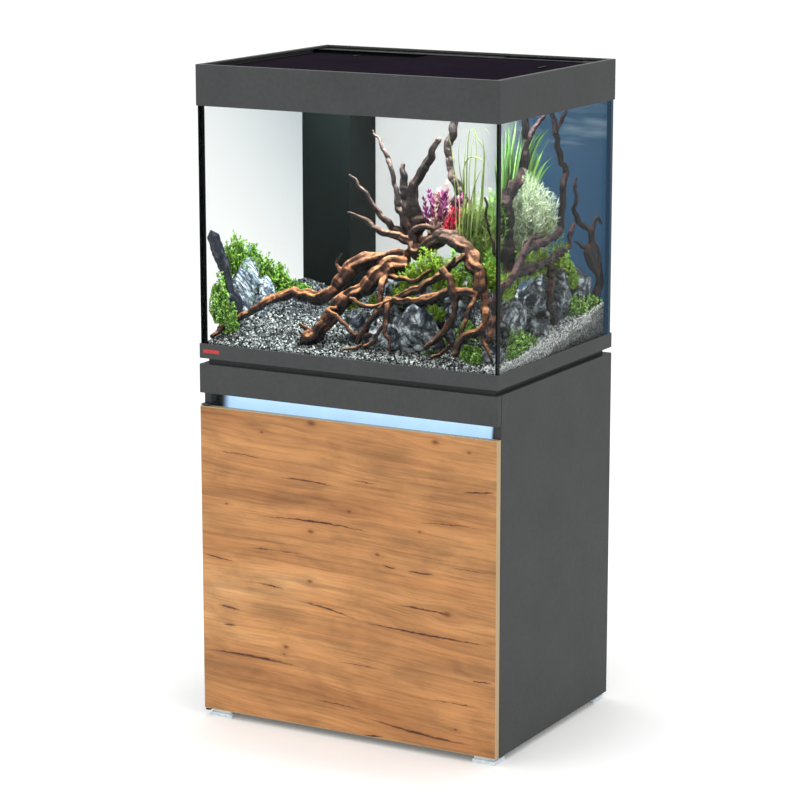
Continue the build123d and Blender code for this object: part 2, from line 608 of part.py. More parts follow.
def hose(route):
    """A hose along a hand-laid route, bent as gently as its runs allow."""
    points = [Vector(*p) for p in route]
    radii = []
    for a, b, c in zip(points, points[1:], points[2:]):
        into, out = b - a, c - b
        half_turn = math.radians(into.get_angle(out)) / 2
        radii.append(0.45 * min(into.length, out.length) / math.tan(half_turn))
    path = FilletPolyline(*points, radius=radii)
    start = Plane(origin=points[0], z_dir=points[1] - points[0])
    solid = sweep(start * Circle(HOSE_RADIUS), path=path)
    section = math.pi * HOSE_RADIUS ** 2
    print("hose radii", [round(r) for r in radii], "volume ratio",
          round(solid.volume / (section * path.length), 4), "length", round(path.length))
    return solid


# ---- What grows and lies in the tank -----------------------------------------------------

# Each branch is its route, its radius at the thick end and its radius at the tip.
MAIN_WOOD = (
    (((175, -160, 1035), (120, -115, 1040), (65, -65, 1055), (40, -40, 1080)), 20, 22),
    (((20, -20, 1080), (-15, -10, 1125), (-30, 0, 1165), (-50, 10, 1230), (-100, 20, 1295)), 13, 4),
    (((25, -30, 1075), (10, -30, 1150), (5, -30, 1230)), 15, 4),
    (((45, -40, 1075), (50, -50, 1115), (45, -60, 1175), (55, -60, 1210), (85, -60, 1245),
      (100, -60, 1288)), 16, 8),
    (((95, -30, 1080), (120, -10, 1150), (125, 0, 1195), (105, 0, 1215), (95, 10, 1275),
      (105, 20, 1345)), 13, 9),
    (((125, 0, 1195), (150, -20, 1165), (195, -40, 1140)), 8, 5),
    (((25, -20, 1065), (-25, -40, 1100), (-55, -50, 1140), (-110, -60, 1205)), 12, 4),
    (((70, -50, 1045), (0, -60, 1080), (-30, -70, 1085), (-60, -80, 1110), (-95, -90, 1125)), 13, 4),
    (((65, -60, 1040), (125, -80, 1085), (160, -90, 1090), (205, -110, 1075), (245, -130, 1045),
      (252, -145, 1005), (295, -190, 940), (255, -225, 900), (238, -232, 860)), 17, 7),
    (((190, -150, 1050), (150, -160, 1010), (95, -180, 975), (30, -200, 925), (-10, -210, 860)), 13, 8),
    (((185, -165, 1030), (215, -190, 995), (220, -200, 950), (170, -225, 862)), 12, 7),
    (((60, -190, 962), (145, -190, 970), (215, -190, 995)), 9, 9),
    (((20, -60, 1025), (-25, -80, 1025), (-70, -110, 1015), (-110, -150, 950), (-210, -150, 950),
      (-260, -185, 925), (-335, -242, 864)), 14, 6),
    (((25, -95, 1020), (-20, -140, 980), (-75, -160, 940), (-100, -200, 885), (-130, -215, 855)), 16, 8),
)
RIGHT_WOOD = (
    (((265, -60, 960), (250, -20, 1085), (250, -20, 1170), (250, 60, 1215), (250, 70, 1270),
      (250, 65, 1330)), 18, 8),
    (((250, 75, 1285), (250, 115, 1305), (250, 160, 1325)), 8, 6),
    (((320, -170, 900), (310, -105, 1030), (300, -25, 1060), (290, 90, 1065), (290, 160, 1085),
      (290, 170, 1135), (290, 190, 1205), (275, 180, 1300), (270, 165, 1345)), 13, 6),
    (((325, 225, 900), (328, 240, 1050), (310, 220, 1100), (305, 205, 1150), (300, 215, 1195)), 11, 4),
    (((312, -90, 1022), (310, 70, 1030), (305, 165, 1045), (305, 200, 1095)), 9, 5),
    (((310, 75, 1020), (320, 40, 960), (320, 75, 890)), 8, 8),
)
LEFT_WOOD = (
    (((-314, -188, 885), (-322, -203, 950), (-334, -222, 1010), (-336, -240, 1085)), 13, 9),
)

# Each lump is its middle x and y, its foot and top, and its half width and half depth.
ROCKS = (
    (130, -185, 850, 958, 56, 40, 0.3),
    (-35, -150, 855, 925, 42, 34, 0.9),
    (45, -25, 860, 1015, 88, 72, 0.2),
    (-322, -130, 865, 1025, 24, 72, 0.1),
    (292, -70, 860, 965, 46, 56, 0.5),
    (282, 55, 870, 985, 48, 60, 1.1),
    (296, 170, 880, 995, 42, 50, 0.7),
    (315, -195, 848, 925, 28, 34, 0.4),
)
LEFT_PLANTS = (
    (-328, -222, 865, 1075, 20, 30, 0.0),
    (-322, -45, 880, 965, 26, 40, 0.5),
    (-318, 45, 885, 945, 28, 46, 0.2),
    (-320, 106, 885, 925, 26, 26, 0.7),
)
RIGHT_PLANTS = (
    (120, -70, 1010, 1065, 55, 45, 0.1),
    (90, 60, 990, 1150, 60, 45, 0.6),
    (185, -30, 960, 1340, 40, 40, 0.3),
    (235, -120, 1000, 1210, 34, 40, 0.8),
    (275, -235, 846, 900, 62, 20, 0.2),
    (255, 70, 980, 1210, 40, 70, 0.4),
    (322, 130, 880, 930, 26, 40, 0.5),
    (328, -110, 855, 915, 22, 44, 0.1),
    (325, 215, 890, 935, 24, 36, 0.9),
)


def joined(solids):
    """One shape from solids that grow or lie together."""
    whole = solids[0]
    for solid in solids[1:]:
        whole = whole + solid
    return whole


def tank_contents():
    """Gravel, driftwood, stones and plants, bedded into each other."""
    parts["gravel_bed"] = gravel_bed()
    wood = [branch(*piece) for piece in MAIN_WOOD + RIGHT_WOOD + LEFT_WOOD]
    parts["driftwood"] = joined(wood)
    parts["rocks"] = joined([lump(*stone) for stone in ROCKS])
    parts["plants_left"] = joined([lump(*bush) for bush in LEFT_PLANTS])
    parts["plants_right"] = joined([lump(*bush) for bush in RIGHT_PLANTS])


def hoses(under, tails, tail_z):
    """The two hoses, from the bulkheads under the tank to the tails on the filter."""
    runs = (("suction", SUCTION_X, tails[0], 130), ("return", RETURN_X, tails[1], 95))
    for name, top_x, (x, y), drop in runs:
        route = [(top_x, PIPE_Y, under), (top_x, PIPE_Y, under - drop)]
        route += [(x, y, tail_z + drop), (x, y, tail_z)]
        parts[name + "_hose"] = hose(route)


def build():
    cabinet_carcass()
    shelf()
    light_recess()
    door()
    feet()
    tank_base()
    tank_glass()
    hood()
    lids()
    tank_lights()
    filter_shaft()
    under = shaft_pipes()
    tails, tail_z = canister()
    hoses(under, tails, tail_z)
    parts["fixing_screws"] = group(*screws)
    tank_contents()


def write():
    os.makedirs("parts", exist_ok=True)
    for name, shape in parts.items():
        export_step(shape, os.path.join("parts", name + ".step"))


build()
write()
print(len(parts), "nodes")
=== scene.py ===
import itertools
import json
import math

import bmesh
import bpy
import numpy as np
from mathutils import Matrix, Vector, noise


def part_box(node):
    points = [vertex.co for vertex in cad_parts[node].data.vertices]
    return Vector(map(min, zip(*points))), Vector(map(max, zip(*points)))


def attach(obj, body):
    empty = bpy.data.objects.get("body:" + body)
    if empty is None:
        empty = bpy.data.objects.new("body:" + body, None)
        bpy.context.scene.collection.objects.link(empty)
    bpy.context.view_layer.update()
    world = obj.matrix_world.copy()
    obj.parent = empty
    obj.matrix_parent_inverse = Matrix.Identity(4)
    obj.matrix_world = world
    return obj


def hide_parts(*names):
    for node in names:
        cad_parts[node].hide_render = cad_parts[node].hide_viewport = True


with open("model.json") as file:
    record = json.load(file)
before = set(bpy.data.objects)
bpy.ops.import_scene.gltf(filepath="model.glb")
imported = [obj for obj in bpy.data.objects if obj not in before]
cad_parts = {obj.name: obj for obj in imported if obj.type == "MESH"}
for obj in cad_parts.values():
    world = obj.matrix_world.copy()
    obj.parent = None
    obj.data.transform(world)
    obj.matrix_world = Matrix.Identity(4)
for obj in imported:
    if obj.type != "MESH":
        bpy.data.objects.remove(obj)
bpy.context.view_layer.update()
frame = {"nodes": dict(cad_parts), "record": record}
nodes = frame["nodes"]
ROOT = "stand_and_tank"

# ---- Places read from the frame, in metres ---------------------------------------------------
WATER_X0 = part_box("glass_left")[1].x
WATER_X1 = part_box("glass_right")[0].x
WATER_Y0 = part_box("glass_front")[1].y
WATER_Y1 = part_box("glass_back")[0].y
TANK_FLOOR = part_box("glass_bottom")[1].z
HOOD_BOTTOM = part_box("hood_frame")[0].z
DOOR_LOW, DOOR_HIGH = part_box("door_panel")
SHAFT_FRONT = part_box("filter_shaft")[0].y
SHAFT_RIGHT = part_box("filter_shaft")[1].x
MM = 0.001
# Without a seed of its own, the noise differs from run to run.
noise.seed_set(4)

CAMERA_PLACE = (3.026, -5.447, 2.029)
CAMERA_TILT, CAMERA_TURN = 77.91, 29.105
LENS, SENSOR_WIDTH, FAR_CLIP = 128.4, 36, 200
FLOOR_REACH = 60.0


# ---- Camera, light and floor -------------------------------------------------------------------


def linked(name, data):
    """A new object in the scene."""
    made = bpy.data.objects.new(name, data)
    bpy.context.scene.collection.objects.link(made)
    return made


def set_camera():
    data = bpy.data.cameras.new("camera")
    data.sensor_width, data.lens, data.clip_end = SENSOR_WIDTH, LENS, FAR_CLIP
    camera = linked("camera", data)
    camera.location = CAMERA_PLACE
    camera.rotation_euler = (math.radians(CAMERA_TILT), 0, math.radians(CAMERA_TURN))
    bpy.context.scene.camera = camera


def area_light(name, place, target, size, power, colour=(1, 1, 1)):
    """A soft rectangular light that the camera doesn't see."""
    data = bpy.data.lights.new(name, "AREA")
    data.shape = "RECTANGLE"
    data.size, data.size_y = size
    data.energy = power
    data.color = colour
    lamp = linked(name, data)
    lamp.location = place
    lamp.rotation_euler = (Vector(target) - Vector(place)).to_track_quat("-Z", "Y").to_euler()
    lamp.visible_camera = False
    return lamp


def studio():
    """A pale floor, an even sky, and soft boxes above and at both sides."""
    world = bpy.data.worlds.new("studio")
    bpy.context.scene.world = world
    world.use_nodes = True
    sky = world.node_tree.nodes["Background"].inputs
    sky["Color"].default_value = (1, 1, 1, 1)
    sky["Strength"].default_value = 1.0
    bpy.context.scene.view_settings.view_transform = "Standard"
    area_light("key", (-2.2, -3.4, 3.2), (0, 0, 0.8), (2.4, 2.4), 20)
    area_light("side", (3.6, -0.6, 2.4), (0, 0, 0.8), (2.0, 2.4), 1)
    area_light("top", (0, 0.2, 3.6), (0, 0, 1), (2.2, 2.2), 22)
    tank = area_light("tank", (0.0, -0.03, HOOD_BOTTOM + 0.02), (0, -0.03, 0), (0.62, 0.30), 15.0,
                      (0.95, 0.98, 1.0))
    tank.visible_glossy = False
    mesh = bpy.data.meshes.new("floor")
    corners = [(x * FLOOR_REACH, y * FLOOR_REACH, 0) for x, y in ((-1, -1), (1, -1), (1, 1), (-1, 1))]
    mesh.from_pydata(corners, [], [(0, 1, 2, 3)])
    floor = linked("floor", mesh)
    look = Look("studio_floor", roughness=0.9)
    look.colour((0.98, 0.98, 0.972, 1))
    look.shine(0.1)
    look.glow((1, 1, 0.995, 1), 0.10)
    mesh.materials.append(look.material)


# ---- Material building ---------------------------------------------------------------------------


class Look:
    """A material under construction: each method adds nodes and returns the output to use next."""

    def __init__(self, name, roughness=0.5, metallic=0.0):
        self.material = bpy.data.materials.new(name)
        self.material.use_nodes = True
        self.tree = self.material.node_tree
        self.surface = self.tree.nodes["Principled BSDF"]
        self.shader("Roughness", roughness)
        self.shader("Metallic", metallic)
        self.object_place = self.node("ShaderNodeTexCoord").outputs["Object"]

    def node(self, kind, inputs=(), **settings):
        made = self.tree.nodes.new(kind)
        for key, value in settings.items():
            setattr(made, key, value)
        for key, value in dict(inputs).items():
            self.feed(made.inputs[key], value)
        return made

    def feed(self, socket, value):
        if isinstance(value, bpy.types.NodeSocket):
            self.tree.links.new(value, socket)
        else:
            socket.default_value = value

    def shader(self, socket, value):
        self.feed(self.surface.inputs[socket], value)

    def colour(self, value):
        self.shader("Base Color", value)

    def rough(self, value):
        self.shader("Roughness", value)

    def shine(self, value):
        self.shader("Specular IOR Level", value)

    def relief(self, height, distance, strength=1.0, under=None):
        self.shader("Normal", self.bump(height, distance, strength, under))

    def place(self, scale=(1, 1, 1), turn=(0, 0, 0), source=None):
        inputs = {"Vector": source or self.object_place, "Scale": scale, "Rotation": turn}
        return self.node("ShaderNodeMapping", inputs).outputs[0]

    def axis(self, name, source=None):
        split = self.node("ShaderNodeSeparateXYZ", {0: source or self.object_place})
        return split.outputs[name]

    def math(self, operation, a, b=0.0, c=0.0):
        return self.node("ShaderNodeMath", {0: a, 1: b, 2: c}, operation=operation).outputs[0]

    def plus(self, a, b):
        return self.math("ADD", a, b)

    def minus(self, a, b):
        return self.math("SUBTRACT", a, b)

    def times(self, a, b):
        return self.math("MULTIPLY", a, b)

    def larger(self, a, b):
        return self.math("MAXIMUM", a, b)

    def linear(self, value, slope, start):
        return self.math("MULTIPLY_ADD", value, slope, start)

    def span(self, value, start, end, low=0.0, high=1.0, smooth=False):
        """The value from start to end, as a share from low to high."""
        kind = "SMOOTHSTEP" if smooth else "LINEAR"
        inputs = {0: value, 1: start, 2: end, 3: low, 4: high}
        return self.node("ShaderNodeMapRange", inputs, interpolation_type=kind).outputs[0]

    def facing(self):
        """The surface's direction outwards."""
        return self.node("ShaderNodeNewGeometry").outputs["Normal"]

    def lot(self):
        """A number of its own for each loose part of a mesh."""
        return self.node("ShaderNodeNewGeometry").outputs["Random Per Island"]

    def noise(self, scale, detail=4.0, rough=0.55, warp=0.0, source=None):
        inputs = {"Vector": source or self.object_place, "Scale": scale, "Detail": detail}
        inputs.update({"Roughness": rough, "Distortion": warp})
        return self.node("ShaderNodeTexNoise", inputs).outputs["Fac"]

    def grain(self, stretch, detail=4.0, rough=0.55, warp=0.0, source=None):
        """Noise drawn out by its own number of waves a metre along each axis."""
        return self.noise(1.0, detail, rough, warp, self.place(stretch, source=source))

    def cells(self, scale, feature="F1", output="Distance", source=None):
        inputs = {"Vector": source or self.object_place, "Scale": scale}
        return self.node("ShaderNodeTexVoronoi", inputs, feature=feature).outputs[output]

    def ramp(self, value, *stops, step=False):
        """A colour ramp: each stop is a place and a grey or a colour."""
        made = self.node("ShaderNodeValToRGB", {0: value})
        ramp = made.color_ramp
        ramp.interpolation = "CONSTANT" if step else "LINEAR"
        while len(ramp.elements) < len(stops):
            ramp.elements.new(0.5)
        for element, (place, colour) in zip(ramp.elements, stops):
            element.position = place
            element.color = (*colour, 1) if isinstance(colour, tuple) else (colour, colour, colour, 1)
        return made.outputs[0]

    def mix(self, share, a, b, blend="MIX"):
        made = self.node("ShaderNodeMix", data_type="RGBA", blend_type=blend, clamp_factor=True)
        self.feed(made.inputs[0], share)
        for socket, value in ((made.inputs[6], a), (made.inputs[7], b)):
            self.feed(socket, (*value, 1) if isinstance(value, tuple) and len(value) == 3 else value)
        return made.outputs[2]

    def shaded(self, base, share, value, *stops):
        """The base colour multiplied by a ramp over the value."""
        return self.mix(share, base, self.ramp(value, *stops), "MULTIPLY")

    def bump(self, height, distance, strength=1.0, under=None):
        inputs = {"Height": height, "Distance": distance, "Strength": strength}
        if under:
            inputs["Normal"] = under
        return self.node("ShaderNodeBump", inputs).outputs[0]

    def glow(self, colour, strength):
        self.shader("Emission Color", colour)
        self.shader("Emission Strength", strength)

    def see_through(self, clear, shine, slope, least):
        """Clear with a reflection that grows from least as the view comes to graze the surface."""
        view = self.node("ShaderNodeLayerWeight", {"Blend": 0.5}).outputs["Facing"]
        share = self.linear(self.math("POWER", view, 5.0), slope, least)
        return self.node("ShaderNodeMixShader", {0: share, 1: clear.outputs[0], 2: shine.outputs[0]})

    def finish(self, shader):
        """Makes this shader the whole look."""
        self.feed(self.tree.nodes["Material Output"].inputs["Surface"], shader.outputs[0])
        return self.material


def tinted(look, colour, amount, *scales):
    """A colour that varies a little, by noise at each of the scales."""
    result = (*colour, 1)
    for scale in scales:
        result = look.shaded(result, 1.0, look.noise(scale, 3), (0.3, 1 - amount), (0.7, 1 + amount))
    return result


def moulded(name, colour, roughness=0.45, grain=2600, depth=0.00008, amount=0.1, shine=0.5):
    """Moulded or coated surface: faint mottling, fine grain and small changes of gloss."""
    look = Look(name, roughness)
    look.colour(tinted(look, colour, amount, 9, 140))
    look.rough(look.ramp(look.noise(60, 3), (0.3, roughness * 0.85), (0.7, roughness * 1.15)))
    look.relief(look.noise(grain, 2), depth, 0.35)
    look.shine(shine)
    return look


# Cracks of the oak decor on the door: middle x and z from the door's middle, half length, slope,
# bend and half width, in millimetres; bend is the rise of the middle over the ends.
OAK_CRACKS = (
    (-91, 204, 70, -0.03, 3, 1.6), (48, 221, 28, -0.04, 0, 1.0), (322, 230, 38, 0.10, 0, 1.8),
    (-67, 112, 132, -0.01, 7, 1.9), (-324, 7, 42, -0.11, 0, 2.2), (108, 47, 18, -0.10, -6, 1.6),
    (184, 40, 34, 0.01, -1, 2.0), (-189, -40, 34, -0.09, 1, 1.4), (-45, -76, 76, -0.15, 5, 1.7),
    (-297, -104, 32, -0.08, 1, 2.6), (190, -41, 80, -0.04, 1, 1.5), (195, -92, 160, -0.03, -3, 2.0),
    (-238, -212, 126, -0.02, 5, 2.7), (180, -312, 124, -0.08, -5, 2.5), (68, -341, 28, 0.06, 0, 1.8),
    (333, -180, 26, 0.04, 0, 1.3), (-296, -143, 17, 0.02, 0, 1.8), (-20, -285, 60, -0.05, 2, 0.9),
    (250, 150, 70, 0.03, 3, 0.9), (-260, 245, 60, -0.04, 2, 0.9), (40, -190, 66, -0.02, 3, 0.8),
    (300, 60, 50, -0.03, 0, 0.7), (-180, 40, 70, 0.02, 2, 0.8), (270, -238, 60, -0.01, 2, 0.8),
)
# Knots: middle x and z from the door's middle, and radius, in millimetres.
OAK_KNOTS = (
    (-83, 335, 11), (219, 327, 9), (10, 152, 6), (-86, 96, 8), (79, 66, 6), (-89, -16, 7), (248, -43, 11),
    (-151, -173, 7), (-156, -190, 4), (269, -294, 5), (299, 313, 5), (182, 129, 4), (-208, 302, 5),
    (-300, 132, 4),
)
CRACK_STRETCH, CRACK_WIDENING = 1.12, 1.5


def oak_board():
    """Golden oak decor: long flowing grain, pores, knots with grain bent round them, and cracks."""
    look = Look("oak_board", 0.5)
    x = look.axis("X")
    middle_z = (DOOR_LOW.z + DOOR_HIGH.z) / 2
    z = look.minus(look.axis("Z"), middle_z)
    sway = look.grain((1.4, 1.4, 4.0), 2)
    level = look.linear(x, 0.05, z)
    level = look.linear(look.minus(sway, 0.5), 0.07, level)
    dark, halo = 0.0, 0.0
    for knot_x, knot_z, radius in OAK_KNOTS:
        across = look.times(look.minus(x, knot_x * MM), 0.55)
        along = look.minus(z, knot_z * MM)
        far = look.math("SQRT", look.plus(look.times(across, across), look.times(along, along)))
        near = look.span(far, radius * MM * 3.2, 0.0)
        core = look.span(far, radius * MM * 0.75, radius * MM * 0.1)
        level = look.linear(look.times(near, along), -0.75, level)
        halo = look.larger(halo, look.times(near, near))
        dark = look.larger(dark, core)
    flow = look.node("ShaderNodeCombineXYZ", {0: x, 1: 0.0, 2: level}).outputs[0]
    bands = look.grain((1.2, 1, 9), 3, 0.6, source=flow)
    plain = look.ramp(bands, (0.30, (0.345, 0.140, 0.045)), (0.44, (0.465, 0.210, 0.075)),
                      (0.58, (0.540, 0.258, 0.094)), (0.76, (0.66, 0.365, 0.160)))
    cloud = look.grain((7, 1, 17), 4, 0.6, 0.4, source=flow)
    plain = look.shaded(plain, 0.8, cloud, (0.32, 0.68), (0.53, 1.0), (0.8, 1.18))
    rings = look.grain((2.2, 1, 60), 3, 0.6, 0.2, source=flow)
    plain = look.shaded(plain, 0.8, rings, (0.36, 0.74), (0.50, 1.0), (0.70, 1.14))
    low = look.span(z, -0.35, 0.35, 1.05, 0.95)
    plain = look.mix(1.0, plain, low, "MULTIPLY")
    streaks = look.grain((6, 1, 170), 4, 0.65, source=flow)
    plain = look.shaded(plain, 0.8, streaks, (0.36, 0.72), (0.50, 1.0), (0.68, 1.12))
    pores = look.grain((45, 1, 1300), 2, 0.5, source=flow)
    plain = look.shaded(plain, 0.5, pores, (0.30, 0.62), (0.40, 1.0))
    ragged = look.grain((60, 1, 260), 3)
    crack, round_crack = 0.0, 0.0
    for crack_x, crack_z, half, slope, bend, width in OAK_CRACKS:
        half, width = half * CRACK_STRETCH, width * CRACK_WIDENING
        along = look.times(look.minus(x, crack_x * MM), 1 / (half * MM))
        squared = look.times(along, along)
        route = look.linear(along, slope * half * MM, (crack_z + bend) * MM)
        route = look.linear(squared, -bend * MM, route)
        route = look.linear(look.minus(ragged, 0.5), 0.007, route)
        away = look.times(look.math("ABSOLUTE", look.minus(z, route)), 1 / (width * MM))
        inside = look.minus(1.0, squared)
        crack = look.larger(crack, look.minus(inside, away))
        round_crack = look.larger(round_crack, look.linear(away, -0.16, inside))
    crack = look.times(look.math("MINIMUM", crack, 0.8), look.plus(ragged, 0.85))
    halo = look.larger(look.times(halo, 0.9), look.times(round_crack, 0.8))
    shade = look.times(halo, look.linear(cloud, 0.7, 0.12))
    colour = look.mix(shade, plain, (0.30, 0.115, 0.038))
    colour = look.mix(look.times(dark, 0.85), colour, (0.11, 0.038, 0.015))
    colour = look.mix(crack, colour, (0.070, 0.024, 0.012))
    look.colour(colour)
    look.rough(look.ramp(streaks, (0.3, 0.62), (0.7, 0.48)))
    look.shine(0.3)
    relief = look.bump(look.minus(streaks, look.times(crack, 1.5)), 0.0003, 0.5)
    look.relief(pores, 0.0001, 0.5, relief)
    return look.material


def edge_band():
    """The khaki edging round the door, with faint lines along it."""
    look = Look("edge_band", 0.5)
    lines = look.grain((400, 400, 6), 3)
    look.colour(look.ramp(lines, (0.3, (0.36, 0.25, 0.12)), (0.7, (0.50, 0.37, 0.20))))
    look.relief(lines, 0.0001, 0.3)
    return look.material


def clear_glass(name, cut_axis):
    """Thin clear glass that throws no caustics, a little hazy high up on the left pane.

    Its cut edges are dark, and the back pane's have a painted glow standing in for the film's light."""
    look = Look(name, 0.05)
    clear = look.node("ShaderNodeBsdfTransparent", {"Color": (0.975, 0.99, 0.985, 1)})
    if name == "glass_left":
        up = look.span(look.axis("Z"), 0.95, 1.36)
        inward = look.span(look.axis("Y"), -0.265, 0.15)
        haze = look.math("POWER", look.times(look.plus(up, inward), 0.55), 2.0)
        look.feed(clear.inputs["Color"], look.mix(haze, (0.985, 0.985, 0.985), (0.74, 0.77, 0.79)))
    smears = look.ramp(look.noise(7, 5), (0.4, 0.015), (0.7, 0.05))
    shine = look.node("ShaderNodeBsdfGlossy", {"Color": (1, 1, 1, 1), "Roughness": smears})
    pane = look.see_through(clear, shine, 0.16, 0.0015)
    cut = look.math("ABSOLUTE", look.axis(cut_axis, look.facing()))
    cut = look.larger(cut, look.math("ABSOLUTE", look.axis("Z", look.facing())))
    cut = look.math("GREATER_THAN", cut, 0.7)
    look.colour(tinted(look, (0.004, 0.007, 0.0065), 0.3, 200))
    look.shine(0.05)
    # Painted light: the back pane's cut edges glow white at the left and blue at the right, as if lit by the
    # film behind them.
    if name == "glass_back":
        right = look.math("GREATER_THAN", look.axis("X"), 0.0)
        painted_glow_share = look.math("LESS_THAN", look.axis("Y"), WATER_Y1 + 0.0085)
        look.glow(look.mix(right, (0.5, 0.5, 0.5), (0.040, 0.10, 0.175)), look.times(painted_glow_share, 0.6))
    whole = {0: cut, 1: pane.outputs[0], 2: look.surface.outputs[0]}
    return look.finish(look.node("ShaderNodeMixShader", whole))


def dark_glass():
    look = Look("dark_glass", 0.12)
    look.colour(tinted(look, (0.0135, 0.0105, 0.0165), 0.12, 3, 30))
    look.shine(0.0)
    look.rough(look.ramp(look.noise(6, 5), (0.35, 0.08), (0.65, 0.2)))
    look.relief(look.noise(14, 2), 0.0004, 0.05)
    return look.material


def background_film():
    """Film on the back pane: white at the left, blue at the right, lighter under the waterline; its
    brightness is mostly a painted glow.
    """
    look = Look("background_film", 0.6)
    drift = look.linear(look.noise(4, 3), 0.05, look.axis("X"))
    blue = look.span(drift, 0.045, 0.19, smooth=True)
    cloud = look.noise(3.5, 4, warp=0.4)
    cloud = look.ramp(cloud, (0.3, (0.0315, 0.092, 0.178)), (0.7, (0.050, 0.122, 0.219)))
    high = look.linear(look.noise(9, 4), 0.03, look.axis("Z"))
    high = look.span(high, 1.235, 1.27)
    streak = look.noise(1.0, 4, source=look.place((9, 9, 60), (0, 0.35, 0)))
    streak = look.times(high, look.ramp(streak, (0.45, 0.0), (0.7, 0.32)))
    sea = look.mix(streak, cloud, (0.45, 0.56, 0.64))
    white = look.ramp(look.noise(2.5, 3), (0.3, (0.84, 0.83, 0.835)), (0.7, (0.93, 0.91, 0.915)))
    colour = look.mix(blue, white, sea)
    # Painted light: the base colour is dimmed to 8% and the film's colour glows instead, as if lit from
    # inside the tank.
    look.colour(look.mix(0.92, colour, (0, 0, 0)))
    look.glow(colour, 0.66)
    look.shine(0.05)
    return look.material


def metal(name, colour, roughness, scratch=(30, 900, 900)):
    """Brushed metal, with scratches along the axis that has the fewest waves a metre."""
    look = Look(name, roughness, 1.0)
    lines = look.grain(scratch, 3)
    look.colour(look.shaded(tinted(look, colour, 0.12, 40), 0.5, lines, (0.3, 0.75), (0.7, 1.0)))
    look.rough(look.ramp(lines, (0.3, roughness * 0.8), (0.7, roughness * 1.3)))
    look.relief(lines, 0.00005, 0.3)
    return look.material


DIODE_PITCH = 0.0125
RIB_PITCH = 0.005


def milky_lens(name, colour, strength):
    """A lit diffuser, a little brighter over each of its diodes."""
    look = Look(name, 0.4)
    wave = look.math("SINE", look.times(look.axis("X"), 2 * math.pi / DIODE_PITCH))
    spots = look.linear(wave, 0.15, 0.85)
    look.colour(look.shaded((*colour, 1), 0.4, look.noise(300), (0.3, 0.7), (0.7, 1.0)))
    look.glow(look.mix(1.0, (*colour, 1), spots, "MULTIPLY"), strength)
    return look.material


def lit_reflector():
    """White enamel with a painted ice-blue glow for the light from under the fascia: brightest high up, and
    painted shade makes it dark at the ends.
    """
    look = Look("lit_reflector", 0.4)
    low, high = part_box("light_reflector")
    # Painted light: the glow grows towards the top, where the light from the bar under the fascia falls.
    height = look.span(look.axis("Z"), low.z + 0.012, low.z + 0.05)
    # Painted shade: towards both ends the glow fades and the enamel turns near black.
    from_left = look.minus(look.axis("X"), low.x)
    from_right = look.minus(high.x, look.axis("X"))
    end = look.math("MINIMUM", from_left, look.linear(from_right, 3.0, -0.012))
    end = look.span(end, 0.010, 0.034, smooth=True)
    uneven = look.linear(look.noise(14, 2), 0.3, 0.85)
    colour = look.mix(height, (0.40, 0.62, 0.90), (0.56, 0.80, 0.98))
    base = look.mix(end, (0.012, 0.016, 0.02), tinted(look, (0.20, 0.27, 0.36), 0.05, 30))
    look.colour(base)
    look.glow(colour, look.times(look.times(end, uneven), 0.86))
    look.relief(look.noise(900, 2), 0.0001, 0.2)
    return look.material


def foot_clear():
    """Milky clear plastic of the feet."""
    look = Look("foot_clear", 0.28)
    cloud = look.noise(55, 4, warp=0.6)
    look.colour(look.ramp(cloud, (0.3, (0.50, 0.58, 0.64)), (0.7, (0.80, 0.85, 0.88))))
    look.relief(look.noise(260, 2), 0.0002, 0.4)
    return look.material


def ribbed_hose():
    look = Look("hose", 0.5)
    ribs = look.math("SINE", look.times(look.axis("Z"), 2 * math.pi / RIB_PITCH))
    look.colour(look.ramp(look.noise(40, 4), (0.3, (0.075, 0.115, 0.10)), (0.7, (0.13, 0.17, 0.15))))
    look.rough(look.ramp(look.noise(120), (0.3, 0.4), (0.7, 0.6)))
    look.relief(ribs, 0.0006, 0.8)
    return look.material


def grain_of_stone(name, *stops):
    """Loose gravel: each stone has its own shade, with flecks of its own."""
    look = Look(name, 0.75)
    plain = look.ramp(look.lot(), *stops, step=True)
    look.colour(look.shaded(plain, 0.7, look.noise(900, 3), (0.35, 0.6), (0.65, 1.25)))
    look.shine(0.3)
    look.relief(look.noise(1500, 3), 0.0003, 0.6)
    return look.material


def substrate():
    """Packed dark grit, seen only between the loose stones."""
    look = Look("substrate", 0.9)
    grit = look.ramp(look.cells(380, output="Color"), (0.25, (0.012, 0.014, 0.016)),
                     (0.5, (0.07, 0.075, 0.08)), (0.8, (0.24, 0.25, 0.25)))
    look.colour(look.shaded(grit, 0.6, look.noise(60, 4), (0.3, 0.4), (0.7, 1.1)))
    look.relief(look.cells(420), 0.001, 0.7)
    return look.material


